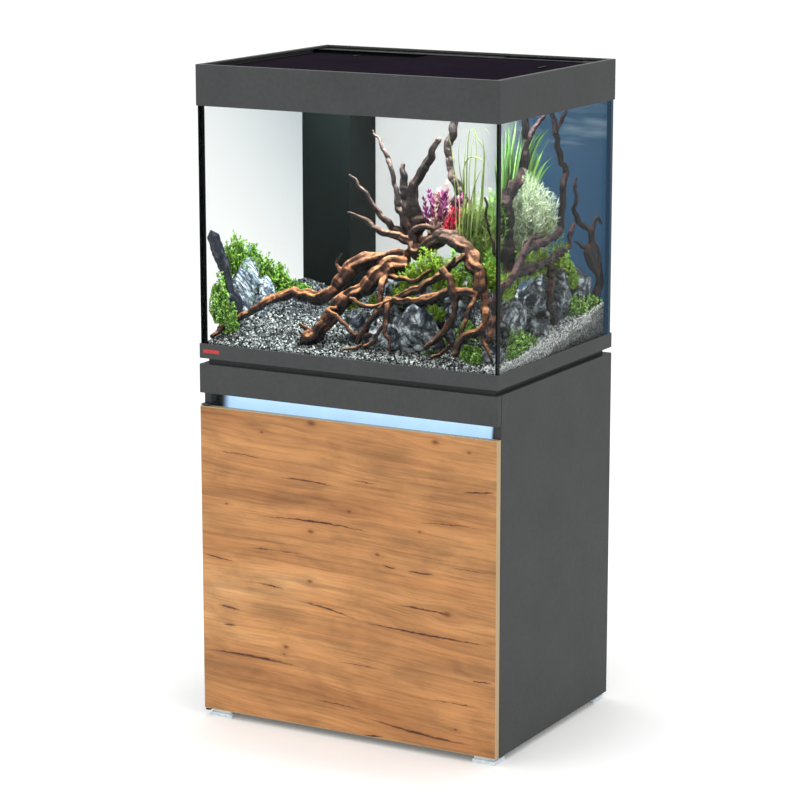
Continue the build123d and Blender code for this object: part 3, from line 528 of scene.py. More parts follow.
def bark(name, shade, turning):
    """Wet root wood, reddish and ridged, with a painted highlight that makes it orange-brown where it faces
    up and painted shade that makes it near black beneath.

    It's multiplied by shade, a painted shade that makes a darker, purpler copy for the limbs at the right,
    and turns to grey-brown from the height turning upwards."""
    look = Look(name, 0.5)
    # Painted light: the colour follows how far the surface faces up, as if lit from above by the tank lamp,
    # orange-brown on top and near black beneath.
    upward = look.axis("Z", look.facing())
    patches = look.noise(28, 5, 0.6, 0.5)
    lit = look.linear(look.minus(patches, 0.5), 1.5, upward)
    lit = look.linear(lit, 0.5, 0.5)
    colour = look.ramp(lit, (0.38, (0.005, 0.003, 0.003)), (0.62, (0.028, 0.010, 0.007)),
                       (0.80, (0.115, 0.040, 0.018)), (0.97, (0.42, 0.180, 0.072)))
    # The grey-brown upper wood, with the same painted highlight on top and painted shade beneath.
    dark = look.ramp(lit, (0.36, (0.006, 0.005, 0.006)),
                     (0.66, (0.022, 0.014, 0.013)), (0.97, (0.15, 0.092, 0.072)))
    height = look.linear(look.noise(10, 3), 0.08, look.axis("Z"))
    height = look.span(height, turning, turning + 0.1)
    colour = look.mix(height, colour, dark)
    colour = look.shaded(colour, 0.85, look.noise(200, 5, 0.7, 0.6), (0.38, 0.16), (0.56, 1.25))
    # Painted shade: shade darkens and tints a copy of this bark for the limbs at the right.
    look.colour(look.mix(1.0, colour, shade, "MULTIPLY"))
    look.rough(look.ramp(patches, (0.3, 0.7), (0.7, 0.42)))
    look.shine(0.35)
    relief = look.bump(look.noise(170, 5, 0.65, 0.8), 0.0022, 0.8)
    look.relief(look.noise(700, 3), 0.0006, 0.6, relief)
    return look.material


def navy_wood():
    """The dark blue-black leaning root at the left."""
    look = Look("dark_root", 0.55)
    look.colour(look.ramp(look.noise(70, 5, 0.6, 0.6), (0.3, (0.004, 0.007, 0.014)),
                                        (0.55, (0.011, 0.016, 0.028)), (0.8, (0.06, 0.05, 0.05))))
    look.relief(look.noise(240, 5), 0.0018, 0.8)
    return look.material


def veined_rock(name, dark, middle, light, stretch=(1, 1, 1), turn=(0, 0, 0)):
    """Blue-grey stone with dark cracks and pale worn faces, drawn out along a turned axis."""
    look = Look(name, 0.75)
    grain = look.place(stretch, source=look.place(turn=turn))
    faces = look.noise(34, 6, 0.66, 0.9, source=grain)
    colour = look.ramp(faces, (0.38, dark), (0.49, middle), (0.58, light))
    swirl = look.node("ShaderNodeTexNoise", {"Vector": grain, "Scale": 30.0}).outputs["Color"]
    bent = look.mix(0.05, grain, swirl)
    cracks = look.cells(34, "DISTANCE_TO_EDGE", source=bent)
    colour = look.shaded(colour, 0.9, cracks, (0.0, 0.02), (0.10, 0.5), (0.20, 1.0))
    fine = look.noise(330, 4)
    look.colour(look.shaded(colour, 0.75, fine, (0.35, 0.6), (0.6, 1.2)))
    relief = look.bump(look.times(cracks, faces), 0.010, 1.0)
    look.relief(fine, 0.0012, 0.7, relief)
    return look.material


def leafy(name, dark, middle, light, gloss=0.45):
    """Leaves that differ one from another, with painted shade low down and between them."""
    look = Look(name, gloss)
    value = look.linear(look.lot(), 0.6, look.times(look.noise(30, 3), 0.5))
    colour = look.ramp(value, (0.15, dark), (0.5, middle), (0.85, light))
    # Painted shade: an occlusion node darkens leaves that lie deep among others, and makes open ones a little
    # lighter.
    painted_shade_occlusion = look.node("ShaderNodeAmbientOcclusion", {"Distance": 0.018}, samples=4, only_local=True)
    between = painted_shade_occlusion.outputs["AO"]
    colour = look.shaded(colour, 1.0, between, (0.12, 0.10), (0.5, 0.85), (0.75, 1.25))
    look.colour(look.shaded(colour, 0.6, look.noise(800, 2), (0.35, 0.75), (0.6, 1.1)))
    look.shine(0.3)
    look.relief(look.noise(600, 2), 0.0003, 0.5)
    return look.material


def water():
    look = Look("water", 0.03)
    clear = look.node("ShaderNodeBsdfTransparent", {"Color": (0.96, 0.99, 0.985, 1)})
    ripple = look.bump(look.noise(22, 3, 0.5, 0.5), 0.004, 0.6)
    shine = look.node("ShaderNodeBsdfGlossy", {"Roughness": 0.02, "Normal": ripple})
    return look.finish(look.see_through(clear, shine, 0.3, 0.005))


# Moulded and coated slots: colour, roughness, grain, its depth, mottling and shine.
MOULDED = {
    "graphite_board": ((0.066, 0.0675, 0.068), 0.42, 1500, 0.00006, 0.06, 0.03),
    "graphite_frame": ((0.065, 0.067, 0.068), 0.40, 2200, 0.00005, 0.06, 0.03),
    "black_plastic": ((0.0034, 0.0052, 0.0047), 0.5, 1200, 0.00008, 0.1, 0.08),
    "mat": ((0.05, 0.05, 0.055), 0.9, 900, 0.0006, 0.2),
    "grey_pipe": ((0.10, 0.105, 0.11), 0.4, 1500),
    "bumper": ((0.60, 0.60, 0.58), 0.3, 600),
    "nylon": ((0.62, 0.61, 0.56), 0.45, 900),
    "red_plate": ((0.44, 0.022, 0.016), 0.35, 900, 0.0001, 0.15),
    "filter_grey": ((0.055, 0.06, 0.066), 0.45, 1300, 0.00015),
    "filter_smoke": ((0.012, 0.014, 0.016), 0.35, 1300, 0.0001),
    "clip_grey": ((0.16, 0.175, 0.19), 0.35, 1300),
    "black_steel": ((0.022, 0.023, 0.025), 0.4, 1800, 0.00006, 0.15),
}
# The panes, each with the axis that its upright cut edges face along.
PANES = {"glass_front": "X", "glass_back": "X", "glass_left": "Y", "glass_right": "Y", "glass_bottom": "X"}


def silicone():
    """Black seams, with a painted blue glow where they lie against the film at the right."""
    look = moulded("silicone", (0.004, 0.0045, 0.005), 0.4, 300, 0.0002, shine=0.08)
    painted_film_glow = look.math("GREATER_THAN", look.axis("Y"), WATER_Y1 - 0.012)
    painted_film_glow = look.times(painted_film_glow, look.math("GREATER_THAN", look.axis("X"), 0.0))
    # Painted light: the seams by the film glow blue, as if lit by it.
    look.glow((0.032, 0.080, 0.140, 1), look.times(painted_film_glow, 0.5))
    return look.material


def paint_frame():
    """Each CAD node that stays gets the material of its slot."""
    looks = {name: moulded(name, *values).material for name, values in MOULDED.items()}
    looks.update({
        "oak_board": oak_board(), "edge_band": edge_band(), "dark_glass": dark_glass(),
        "film": background_film(), "lit_reflector": lit_reflector(), "foot_clear": foot_clear(),
        "hose": ribbed_hose(), "silicone": silicone(),
        "steel": metal("steel", (0.55, 0.55, 0.54), 0.35),
        "lamp_housing": metal("lamp_housing", (0.62, 0.63, 0.64), 0.32),
        "lamp_lens": milky_lens("lamp_lens", (0.9, 0.95, 1.0), 5.0),
        "cabinet_lens": milky_lens("cabinet_lens", (0.55, 0.80, 1.0), 3.0),
    })
    for row in frame["record"]["subparts"]:
        name = row["node"]
        material = clear_glass(name, PANES[name]) if name in PANES else looks.get(row["material_slot"])
        if material:
            nodes[name].data.materials.clear()
            nodes[name].data.materials.append(material)


# ---- Mesh building -------------------------------------------------------------------------------


def piece(name, vertices, faces, material, smooth=False, replaced=()):
    """A finished mesh that rides on the stand and tank."""
    mesh = bpy.data.meshes.new(name)
    mesh.from_pydata(vertices, [], faces)
    mesh.materials.append(material)
    if smooth:
        mesh.shade_smooth()
    made = linked(name, mesh)
    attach(made, ROOT)
    if replaced:
        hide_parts(*replaced)
    return made


def between_panes(points, gap=0.001):
    """The same points, pressed back to a gap from the four upright panes."""
    points[..., 0] = np.clip(points[..., 0], WATER_X0 + gap, WATER_X1 - gap)
    points[..., 1] = np.clip(points[..., 1], WATER_Y0 + gap, WATER_Y1 - gap)
    return points


def behind_shaft_front(x, y, margin=0.0):
    """Whether a place lies within the filter shaft, or a margin outside it."""
    return (x < SHAFT_RIGHT + margin) & (y > SHAFT_FRONT - margin)


def grid(across, deep, gap):
    """Rows of x and y between the panes, and the four corners of each cell."""
    xs = np.linspace(WATER_X0 + gap, WATER_X1 - gap, across + 1)
    ys = np.linspace(WATER_Y0 + gap, WATER_Y1 - gap, deep + 1)
    i, j = np.meshgrid(np.arange(across), np.arange(deep), indexing="ij")
    a = i * (deep + 1) + j
    return *np.meshgrid(xs, ys, indexing="ij"), np.stack([a, a + deep + 1, a + deep + 2, a + 1], -1)


def angles_round(count):
    return np.arange(count) * 2 * math.pi / count


def stacked(parts):
    """Several (vertices, faces) pairs as one, with the faces renumbered."""
    offset, vertices, faces = 0, [], []
    for points, sides in parts:
        vertices.append(points)
        faces.append(np.asarray(sides) + offset)
        offset += len(points)
    return np.vstack(vertices), np.vstack(faces)


def unit(vectors):
    return vectors / np.maximum(np.linalg.norm(vectors, axis=-1, keepdims=True), 1e-9)


def wander(places, scale, amount, seed=0.0):
    """A smooth random shift for each place."""
    shift = [noise.noise_vector(Vector(p) * scale + Vector((seed, seed * 1.7, seed * 0.3))) for p in places]
    return np.array(shift) * amount


def smooth_route(points, step):
    """Points about a step apart on a smooth curve through the route."""
    points = np.asarray(points, float)
    ends = np.vstack([2 * points[0] - points[1], points, 2 * points[-1] - points[-2]])
    line = []
    for a, b, c, d in zip(ends, ends[1:], ends[2:], ends[3:]):
        count = max(2, int(np.linalg.norm(c - b) / step))
        t = np.linspace(0, 1, count, endpoint=False)[:, None]
        bend, twist = 2 * a - 5 * b + 4 * c - d, 3 * b - a - 3 * c + d
        line.append(0.5 * (2 * b + (c - a) * t + bend * t**2 + twist * t**3))
    line.append(points[-1:])
    return np.vstack(line)


def frames(line):
    """Directions along and across a line, without twist."""
    ahead = unit(np.gradient(line, axis=0))
    side = np.cross(ahead[0], (0.31, 0.22, 0.92))
    sides = []
    for way in ahead:
        side = unit(side - way * np.dot(side, way))
        sides.append(side)
    sides = np.array(sides)
    return ahead, sides, np.cross(ahead, sides)


def tube(line, radii, sides):
    """A closed tube along a line; radii holds one row for each ring and one column for each side."""
    ahead, across, up = frames(line)
    angles = angles_round(sides)
    ring = across[:, None] * np.cos(angles)[None, :, None] + up[:, None] * np.sin(angles)[None, :, None]
    points = (line[:, None] + ring * radii[:, :, None]).reshape(-1, 3)
    around = np.arange(sides)
    after = (around + 1) % sides
    base = np.arange(len(line) - 1)[:, None] * sides
    a, b = base + around, base + after
    quads = np.stack([a, b, b + sides, a + sides], -1).reshape(-1, 4)
    first, last = len(points), len(points) + 1
    low_end = line[0] - ahead[0] * radii[0].mean() * 0.5
    high_end = line[-1] + ahead[-1] * radii[-1].mean()
    top = (len(line) - 1) * sides
    caps = [np.stack([after, around, np.full(sides, first), np.full(sides, first)], -1),
            np.stack([top + around, top + after, np.full(sides, last), np.full(sides, last)], -1)]
    return np.vstack([points, low_end, high_end]), np.vstack([quads, *caps])


def as_faces(faces):
    """Face lists in which a repeated last corner means a triangle."""
    return [tuple(f[:3]) if f[2] == f[3] else tuple(f) for f in faces.tolist()]


# ---- Gravel ----------------------------------------------------------------------------------------


def gravel_level(x, y):
    """Height of the gravel: it climbs to the back, and steeply at the left behind the front."""
    back = (y - WATER_Y0) / (WATER_Y1 - WATER_Y0)
    rise = np.clip(back / 0.16, 0, 1)
    bank = 0.050 * (1 - 0.5 * back) * rise * rise * (3 - 2 * rise) * np.exp(-(((x - WATER_X0) / 0.090) ** 2))
    return TANK_FLOOR + 0.021 + 0.068 * back + bank


def gravel_core(material):
    """The packed gravel under the loose stones, a closed block with an uneven top."""
    x, y, cells = grid(140, 104, 0.0006)
    top = np.stack([x, y, gravel_level(x, y)], -1).reshape(-1, 3)
    top[:, 2] += wander(top, 90, 0.002)[:, 2] - 0.003
    low = top.copy()
    low[:, 2] = TANK_FLOOR + 0.0002
    count = len(top)
    quads = cells[~behind_shaft_front(x, y)[:-1, :-1]]
    faces = np.vstack([quads, quads[:, ::-1] + count])
    edges = np.vstack([quads[:, [k, (k + 1) % 4]] for k in range(4)])
    known = {tuple(e) for e in edges.tolist()}
    rim = np.array([e for e in edges.tolist() if (e[1], e[0]) not in known])
    walls = np.stack([rim[:, 1], rim[:, 0], rim[:, 0] + count, rim[:, 1] + count], -1)
    return piece("gravel_core", np.vstack([top, low]), np.vstack([faces, walls]).tolist(), material,
                 replaced=("gravel_bed",))


def twenty_sided():
    """The 12 corners and 20 triangles of a regular stone of radius 1, wound outwards."""
    golden = (1 + 5 ** 0.5) / 2
    corners = [(0, s, t * golden) for s in (-1, 1) for t in (-1, 1)]
    corners += [(y, z, x) for x, y, z in corners] + [(z, x, y) for x, y, z in corners]
    corners = unit(np.array(corners, float))
    longest_edge = 1.1
    triangles = []
    for a, b, c in itertools.combinations(range(12), 3):
        spread = [np.linalg.norm(corners[p] - corners[q]) for p, q in ((a, b), (b, c), (a, c))]
        if max(spread) < longest_edge:
            out = np.cross(corners[b] - corners[a], corners[c] - corners[a]) @ corners[a]
            triangles.append((a, b, c) if out > 0 else (a, c, b))
    return corners, np.array(triangles)


def loose_stones(name, places, sizes, material, rng):
    """Small angular stones, one at each place."""
    corners, triangles = twenty_sided()
    count = len(places)
    stretch = rng.uniform(0.6, 1.15, (count, 1, 3)) * sizes[:, None, None]
    bumps = rng.uniform(0.78, 1.12, (count, 12, 1))
    turn = np.linalg.qr(rng.normal(size=(count, 3, 3)))[0]
    turn[np.linalg.det(turn) < 0] *= -1
    points = np.einsum("nij,nkj->nki", turn, corners[None] * bumps * stretch) + places[:, None]
    points = between_panes(points, 0.0004)
    faces = (triangles[None] + np.arange(count)[:, None, None] * 12).reshape(-1, 3)
    return piece(name, points.reshape(-1, 3), faces.tolist(), material)


# Gravel colours, each a place on the ramp and a colour.
STONES = {
    "stones": ((0.0, (0.012, 0.014, 0.017)), (0.22, (0.045, 0.05, 0.055)), (0.40, (0.14, 0.145, 0.15)),
               (0.55, (0.33, 0.34, 0.33)), (0.72, (0.56, 0.575, 0.55)), (0.88, (0.86, 0.87, 0.83))),
    "dusky": ((0.0, (0.010, 0.012, 0.015)), (0.35, (0.035, 0.039, 0.045)), (0.62, (0.085, 0.092, 0.10)),
              (0.82, (0.18, 0.19, 0.20)), (0.95, (0.40, 0.42, 0.42))),
    "dark": ((0.0, (0.004, 0.005, 0.006)), (0.45, (0.014, 0.016, 0.018)), (0.80, (0.045, 0.048, 0.05)),
             (0.96, (0.20, 0.21, 0.21))),
    "sand": ((0.0, (0.16, 0.165, 0.17)), (0.16, (0.42, 0.43, 0.43)), (0.40, (0.68, 0.69, 0.68)),
             (0.70, (0.88, 0.88, 0.86))),
    "earth": ((0.0, (0.05, 0.045, 0.04)), (0.3, (0.15, 0.14, 0.125)), (0.6, (0.30, 0.285, 0.26)),
              (0.85, (0.44, 0.42, 0.39))),
}
STONES_ON_TOP = 21000
STONES_PER_PIECE = 9500


def stones_on_top(looks, rng):
    """Loose stones all over the bed: pale in front, dusky behind, sandy along the right pane."""
    edge = 0.002
    x = rng.uniform(WATER_X0 + edge, WATER_X1 - edge, STONES_ON_TOP)
    y = rng.uniform(WATER_Y0 + edge, WATER_Y1 - edge, STONES_ON_TOP)
    open_place = ~behind_shaft_front(x, y, 0.003)
    x, y = x[open_place], y[open_place]
    sizes = rng.uniform(0.0017, 0.0033, len(x))
    places = np.stack([x, y, gravel_level(x, y) + rng.uniform(-0.0035, 0.0005, len(x))], -1)
    shade = y + 0.35 * (WATER_X0 - x) + rng.normal(0, 0.03, len(x))
    front = shade < -0.10
    side = x > WATER_X1 - 0.040
    for name, chosen, look in (("front", front & ~side, "stones"), ("rear", ~front & ~side, "dusky"),
                               ("side", side, "sand")):
        chosen = np.flatnonzero(chosen)
        for number, share in enumerate(np.array_split(chosen, 1 + len(chosen) // STONES_PER_PIECE)):
            loose_stones(f"gravel_{name}_{number}", places[share], sizes[share], looks[look], rng)


def stones_at_panes(looks, rng):
    """Stones against three panes: a pale layer over dark ones, with earth between at the right."""
    dark_places = []
    for name, count in (("front", 2400), ("right", 5200), ("left", 2400)):
        inward = 0.0015
        if name == "front":
            x, y = rng.uniform(WATER_X0, WATER_X1, count), np.full(count, WATER_Y0 + inward)
        else:
            pane = WATER_X1 - inward if name == "right" else WATER_X0 + inward
            x, y = np.full(count, pane), rng.uniform(WATER_Y0, WATER_Y1, count)
        open_place = ~behind_shaft_front(x, y)
        x, y = x[open_place], y[open_place]
        top = gravel_level(x, y) - 0.001
        z = TANK_FLOOR + 0.002 + rng.uniform(0, 1, len(x)) * (top - TANK_FLOOR - 0.002)
        skin = np.stack([x, y, z], -1)
        layer = 0.027 + wander(skin, 24, 0.016)[:, 2]
        if name == "right":
            layer += 0.020 - 0.036 * (y - WATER_Y0) / (WATER_Y1 - WATER_Y0)
            middle = (top - z >= layer) & (top - z < layer + 0.024)
            sizes = rng.uniform(0.0013, 0.0026, middle.sum())
            loose_stones("gravel_under", skin[middle], sizes, looks["earth"], rng)
            skin, z, top, layer = skin[~middle], z[~middle], top[~middle], layer[~middle]
        near_top = top - z < layer
        dark_places.append(skin[~near_top])
        look = looks["sand" if name == "right" else "stones"]
        sizes = rng.uniform(0.0014, 0.0028, near_top.sum())
        loose_stones(f"gravel_at_{name}", skin[near_top], sizes, look, rng)
    dark_places = np.vstack(dark_places)
    sizes = rng.uniform(0.0016, 0.003, len(dark_places))
    loose_stones("gravel_low", dark_places, sizes, looks["dark"], rng)


def gravel():
    rng = np.random.default_rng(5)
    gravel_core(substrate())
    looks = {name: grain_of_stone(f"gravel_{name}", *stops) for name, stops in STONES.items()}
    stones_on_top(looks, rng)
    stones_at_panes(looks, rng)


# ---- Driftwood ---------------------------------------------------------------------------------------

# Each limb is its route in millimetres, its radius where it starts and its radius at the tip.
MAIN_LIMBS = (
    (((264, -152, 985), (257, -150, 1022), (237, -135, 1044), (208, -120, 1070), (166, -100, 1088),
      (121, -80, 1086), (86, -60, 1070), (55, -48, 1066)), 13, 15),
    (((74, -60, 1050), (57, -66, 1062), (52, -68, 1085), (65, -70, 1102), (84, -70, 1108), (101, -68, 1101),
      (98, -64, 1092)), 9, 5.5),
    (((270, -90, 1050), (258, -98, 1090), (247, -100, 1130), (243, -102, 1185)), 3.6, 2.6),
    (((196, -150, 1046), (210, -140, 1062)), 6, 6),
    (((40, -35, 1075), (15, -20, 1085), (-15, -10, 1125), (-30, 0, 1165), (-50, 10, 1230), (-70, 15, 1260),
      (-100, 20, 1295)), 10, 2.6),
    (((30, -32, 1072), (15, -30, 1130), (10, -30, 1175), (5, -30, 1232)), 14, 4.5),
    (((45, -40, 1072), (50, -50, 1115), (45, -60, 1175), (55, -60, 1210), (85, -60, 1245), (97, -60, 1272),
      (104, -58, 1292)), 13, 8),
    (((75, -35, 1072), (115, -20, 1115), (122, -10, 1150), (125, 0, 1190), (108, 0, 1215), (98, 8, 1250),
      (95, 12, 1280), (105, 18, 1322), (104, 22, 1356)), 10, 8),
    (((123, 0, 1192), (150, -20, 1165), (175, -32, 1152), (198, -42, 1138)), 6, 3.4),
    (((50, -35, 1066), (20, -20, 1066), (5, -30, 1078), (-25, -40, 1100), (-55, -50, 1140), (-85, -56, 1178),
      (-112, -60, 1207)), 11, 2.6),
    (((75, -50, 1045), (40, -50, 1066), (0, -60, 1082), (-30, -70, 1085), (-60, -80, 1108),
      (-97, -90, 1126)), 12, 3),
    (((40, -45, 1060), (65, -60, 1045), (88, -70, 1062), (125, -80, 1086), (160, -90, 1092),
      (205, -110, 1075), (240, -130, 1045), (252, -142, 1005), (270, -160, 982), (294, -190, 942),
      (282, -210, 918), (255, -224, 905), (240, -234, 872)), 17, 7),
    (((30, -60, 1030), (-25, -80, 1027), (-70, -110, 1015), (-92, -130, 985), (-112, -150, 952),
      (-140, -152, 945), (-210, -150, 950), (-260, -185, 925), (-318, -228, 886), (-346, -254, 858)), 21,
      4.5),
    (((-92, -130, 1000), (-100, -128, 1012), (-104, -124, 1024), (-98, -122, 1046)), 6, 2),
    (((40, -90, 1022), (15, -110, 1018), (-20, -140, 982), (-72, -160, 942), (-90, -170, 915),
      (-102, -198, 885), (-134, -216, 866)), 20, 14),
    (((-120, -205, 872), (-138, -205, 884), (-152, -204, 890)), 6, 4),
    (((-72, -168, 930), (-85, -200, 930), (-62, -205, 918), (-40, -205, 910), (-22, -210, 888),
      (0, -210, 884), (28, -211, 890)), 5, 5),
    (((195, -148, 1050), (150, -160, 1012), (125, -168, 990), (95, -180, 976), (65, -190, 960),
      (30, -200, 925), (10, -206, 895), (-12, -212, 866)), 9, 6),
    (((178, -168, 1034), (200, -180, 1018), (215, -190, 995), (221, -198, 950), (205, -214, 915),
      (170, -226, 872)), 9, 6),
    (((60, -188, 968), (66, -208, 938), (64, -214, 920), (50, -224, 888), (24, -236, 866)), 7, 4),
    (((64, -214, 922), (70, -226, 902), (84, -234, 886), (86, -240, 864)), 5, 3.4),
    (((0, -110, 1012), (30, -120, 1002), (60, -132, 1000), (90, -140, 1001), (122, -141, 1016),
      (135, -143, 1028)), 7, 3.4),
    (((8, -110, 1014), (16, -135, 1000), (20, -152, 984), (26, -170, 942), (22, -176, 926)), 8, 5),
    (((40, -196, 944), (70, -192, 964), (100, -190, 960), (145, -190, 970), (185, -186, 984),
      (218, -180, 994), (262, -168, 985)), 8, 11),
    (((-30, -196, 962), (0, -200, 950), (30, -198, 944), (60, -190, 960)), 4, 5),
    (((190, -160, 1040), (205, -170, 1052), (212, -176, 1066)), 6, 3),
    (((250, -140, 1010), (262, -172, 985), (258, -196, 962), (250, -212, 930), (252, -226, 905)), 6, 4),
    (((20, -236, 872), (-5, -240, 862), (-22, -242, 858)), 4, 3),
    (((232, -236, 890), (205, -240, 866), (196, -242, 858)), 5, 3.4),
    (((60, -20, 1068), (85, 0, 1090), (118, -6, 1098), (135, -16, 1080), (140, -26, 1062)), 8, 4),
    (((104, -60, 1060), (98, -44, 1090), (90, -40, 1108), (78, -42, 1112)), 5, 3),
    (((290, -200, 930), (302, -216, 905), (318, -230, 880), (330, -236, 866)), 5, 3.4),
)
RIGHT_LIMBS = (
    (((266, -62, 955), (262, -45, 1000), (252, -26, 1060), (250, -20, 1110), (250, -18, 1168),
      (250, 12, 1195), (250, 52, 1214), (250, 64, 1250), (250, 74, 1284), (250, 66, 1334)), 22, 7),
    (((250, 66, 1262), (250, 82, 1290), (250, 112, 1304), (250, 160, 1327)), 7, 4),
    (((250, 50, 1215), (252, 62, 1200), (253, 68, 1186)), 6, 3),
    (((322, -235, 905), (326, -205, 960), (325, -190, 1000), (325, -164, 1016), (325, -129, 1034),
      (325, -94, 1057), (323, -59, 1076), (318, 12, 1076), (308, 80, 1080), (300, 140, 1090),
      (298, 155, 1130), (296, 160, 1180), (288, 185, 1205), (282, 174, 1240), (278, 162, 1283),
      (274, 158, 1325), (270, 150, 1352)), 10, 5.5),
    (((326, -90, 1062), (324, -55, 1086), (320, 16, 1099)), 6, 3.6),
    (((326, -129, 1036), (330, -78, 1040), (332, -26, 1041), (332, 26, 1041), (331, 63, 1052),
      (330, 122, 1053), (330, 130, 1079), (329, 148, 1101)), 7, 4.5),
    (((275, 180, 1298), (276, 200, 1326), (275, 214, 1348)), 5, 3),
    (((278, 186, 1262), (279, 172, 1284), (279, 160, 1292)), 4, 2.4),
    (((338, 246, 905), (341, 252, 962), (336, 240, 1010), (333, 232, 1045), (326, 232, 1078),
      (312, 196, 1108), (318, 176, 1142), (320, 176, 1196)), 11, 3.2),
    (((338, 240, 985), (330, 222, 1015), (332, 230, 1048)), 9, 7),
    (((333, 232, 1045), (322, 214, 1040), (312, 196, 1052)), 5, 2.6),
    (((312, -108, 1022), (315, -35, 1026), (310, 70, 1030), (306, 150, 1042), (305, 178, 1062),
      (304, 202, 1096)), 8, 4),
    (((312, 66, 1028), (328, 44, 1000), (333, 34, 962), (334, 26, 936), (334, 44, 900)), 7, 8),
    (((290, 78, 1086), (290, 40, 1085), (290, 12, 1080), (292, -16, 1063)), 5, 4),
    (((345, 258, 1092), (341, 256, 1102), (334, 248, 1098), (331, 240, 1078), (333, 236, 1050),
      (340, 246, 1020), (344, 256, 985), (345, 258, 960)), 4.5, 4.5),
    (((320, 40, 1020), (335, 55, 1014), (340, 80, 1008)), 6, 3),
)
LEFT_LIMBS = (
    (((-303, -204, 896), (-314, -207, 936), (-328, -208, 968), (-336, -220, 1010), (-341, -238, 1050),
      (-343, -248, 1074), (-343, -250, 1080)), 9, 14),
)


def limb(route, thick, thin, seed):
    """One uneven, ridged, tapering limb."""
    line = smooth_route(np.array(route) * MM, 0.0032)
    run = np.concatenate([[0], np.cumsum(np.linalg.norm(np.diff(line, axis=0), axis=1))])
    share = run / run[-1]
    line = line + wander(line, 38, 0.007, seed) + wander(line, 110, 0.0022, seed)
    sides = 22
    angles = angles_round(sides)
    radius = (thick + (thin - thick) * share) * MM
    lumps = np.array([noise.noise(Vector((s * 34, seed, 0))) + 0.5 * noise.noise(Vector((s * 95, seed, 9)))
                      for s in run])
    radius = radius * (1 + 0.30 * lumps)
    twist = angles[None] + run[:, None] * 7 + seed
    ridges = 0.10 * np.sin(4 * twist + 11 * run[:, None])
    ridges += 0.07 * np.sin(7 * twist - 23 * run[:, None] + seed)
    rough = np.array([[noise.noise(Vector((math.cos(a) * 1.6, math.sin(a) * 1.6 + seed, s * 42)))
                       for a in angles] for s in run])
    return tube(line, radius[:, None] * (1 + ridges + 0.22 * rough), sides)


def driftwood(name, limbs, material, seed, replaced=()):
    """Limbs grown into one another: fused by a voxel remesh, then eased."""
    points, faces = stacked([limb(*each, seed + 3.1 * k) for k, each in enumerate(limbs)])
    made = piece(name, between_panes(points), as_faces(faces), material, replaced=replaced)
    fuse = made.modifiers.new("fuse", "REMESH")
    fuse.mode = "VOXEL"
    fuse.voxel_size = 0.0017
    ease = made.modifiers.new("ease", "SMOOTH")
    ease.factor = 0.5
    ease.iterations = 2
    shape = bpy.data.meshes.new_from_object(made.evaluated_get(bpy.context.evaluated_depsgraph_get()))
    made.modifiers.clear()
    shape.name = name
    shape.shade_smooth()
    made.data = shape
    return made


# ---- Rocks -------------------------------------------------------------------------------------------

# Each rock is its middle x and y, foot and top, half width and half depth, and turn, in millimetres.
BLUE_ROCKS = (
    (130, -185, 842, 958, 56, 40, 0.3), (62, -178, 846, 915, 34, 30, 1.3), (-35, -150, 850, 925, 40, 32, 0.9),
    (20, -185, 846, 905, 30, 26, 0.2), (45, -25, 860, 1015, 82, 70, 0.2), (190, -120, 850, 985, 40, 36, 0.8),
    (288, -76, 858, 985, 42, 54, 0.5), (276, 48, 868, 985, 40, 58, 1.1), (312, 112, 876, 1004, 30, 44, 0.7),
    (318, 205, 884, 1004, 26, 36, 0.3), (250, 150, 880, 990, 40, 46, 0.9),
    (315, -195, 844, 890, 28, 34, 0.4), (322, -8, 862, 918, 22, 40, 0.0),
)
PALE_ROCKS = (
    (-326, -150, 870, 1034, 22, 74, 0.1), (-316, -90, 870, 975, 28, 60, 0.3),
    (-338, -176, 868, 992, 14, 34, 0.2),
)


def round_ball():
    """Corners and triangles of a ball of radius 1."""
    ball = bpy.data.meshes.new("ball")
    shell = bmesh.new()
    bmesh.ops.create_icosphere(shell, subdivisions=6, radius=1)
    shell.to_mesh(ball)
    shell.free()
    points = np.array([v.co for v in ball.vertices])
    faces = np.array([p.vertices for p in ball.polygons])
    bpy.data.meshes.remove(ball)
    return points, faces


def rock(x, y, foot, top, wide, deep, turn, seed, lean=0.0):
    """A cut ball, crumpled at several scales."""
    points, faces = round_ball()
    rng = np.random.default_rng(seed)
    for way in unit(rng.normal(size=(26, 3))):
        over = points @ way - rng.uniform(0.62, 0.86)
        points -= way * np.maximum(over, 0)[:, None]
    ways = unit(points)
    seed_shift = Vector((seed * 3.7, 0, 0))
    crumple = np.array([noise.ridged_multi_fractal(Vector(p) * 1.5 + seed_shift, 0.9, 2.2, 5, 1.0, 2.0)
                        for p in points])[:, None]
    fine = np.array([noise.fractal(Vector(p) * 7.0 + seed_shift, 0.8, 2.0, 4) for p in points])[:, None]
    points = points + ways * (crumple * 0.10 - 0.12 + fine * 0.035)
    points *= np.array([wide, deep, (top - foot) / 2]) * MM * 1.12
    points[:, 1] += points[:, 2] * lean
    c, s = math.cos(turn), math.sin(turn)
    points = points @ np.array([[c, s, 0], [-s, c, 0], [0, 0, 1]])
    points += np.array([x, y, (foot + top) / 2]) * MM
    points[:, 2] = np.maximum(points[:, 2], TANK_FLOOR + 0.001)
    return between_panes(points), faces


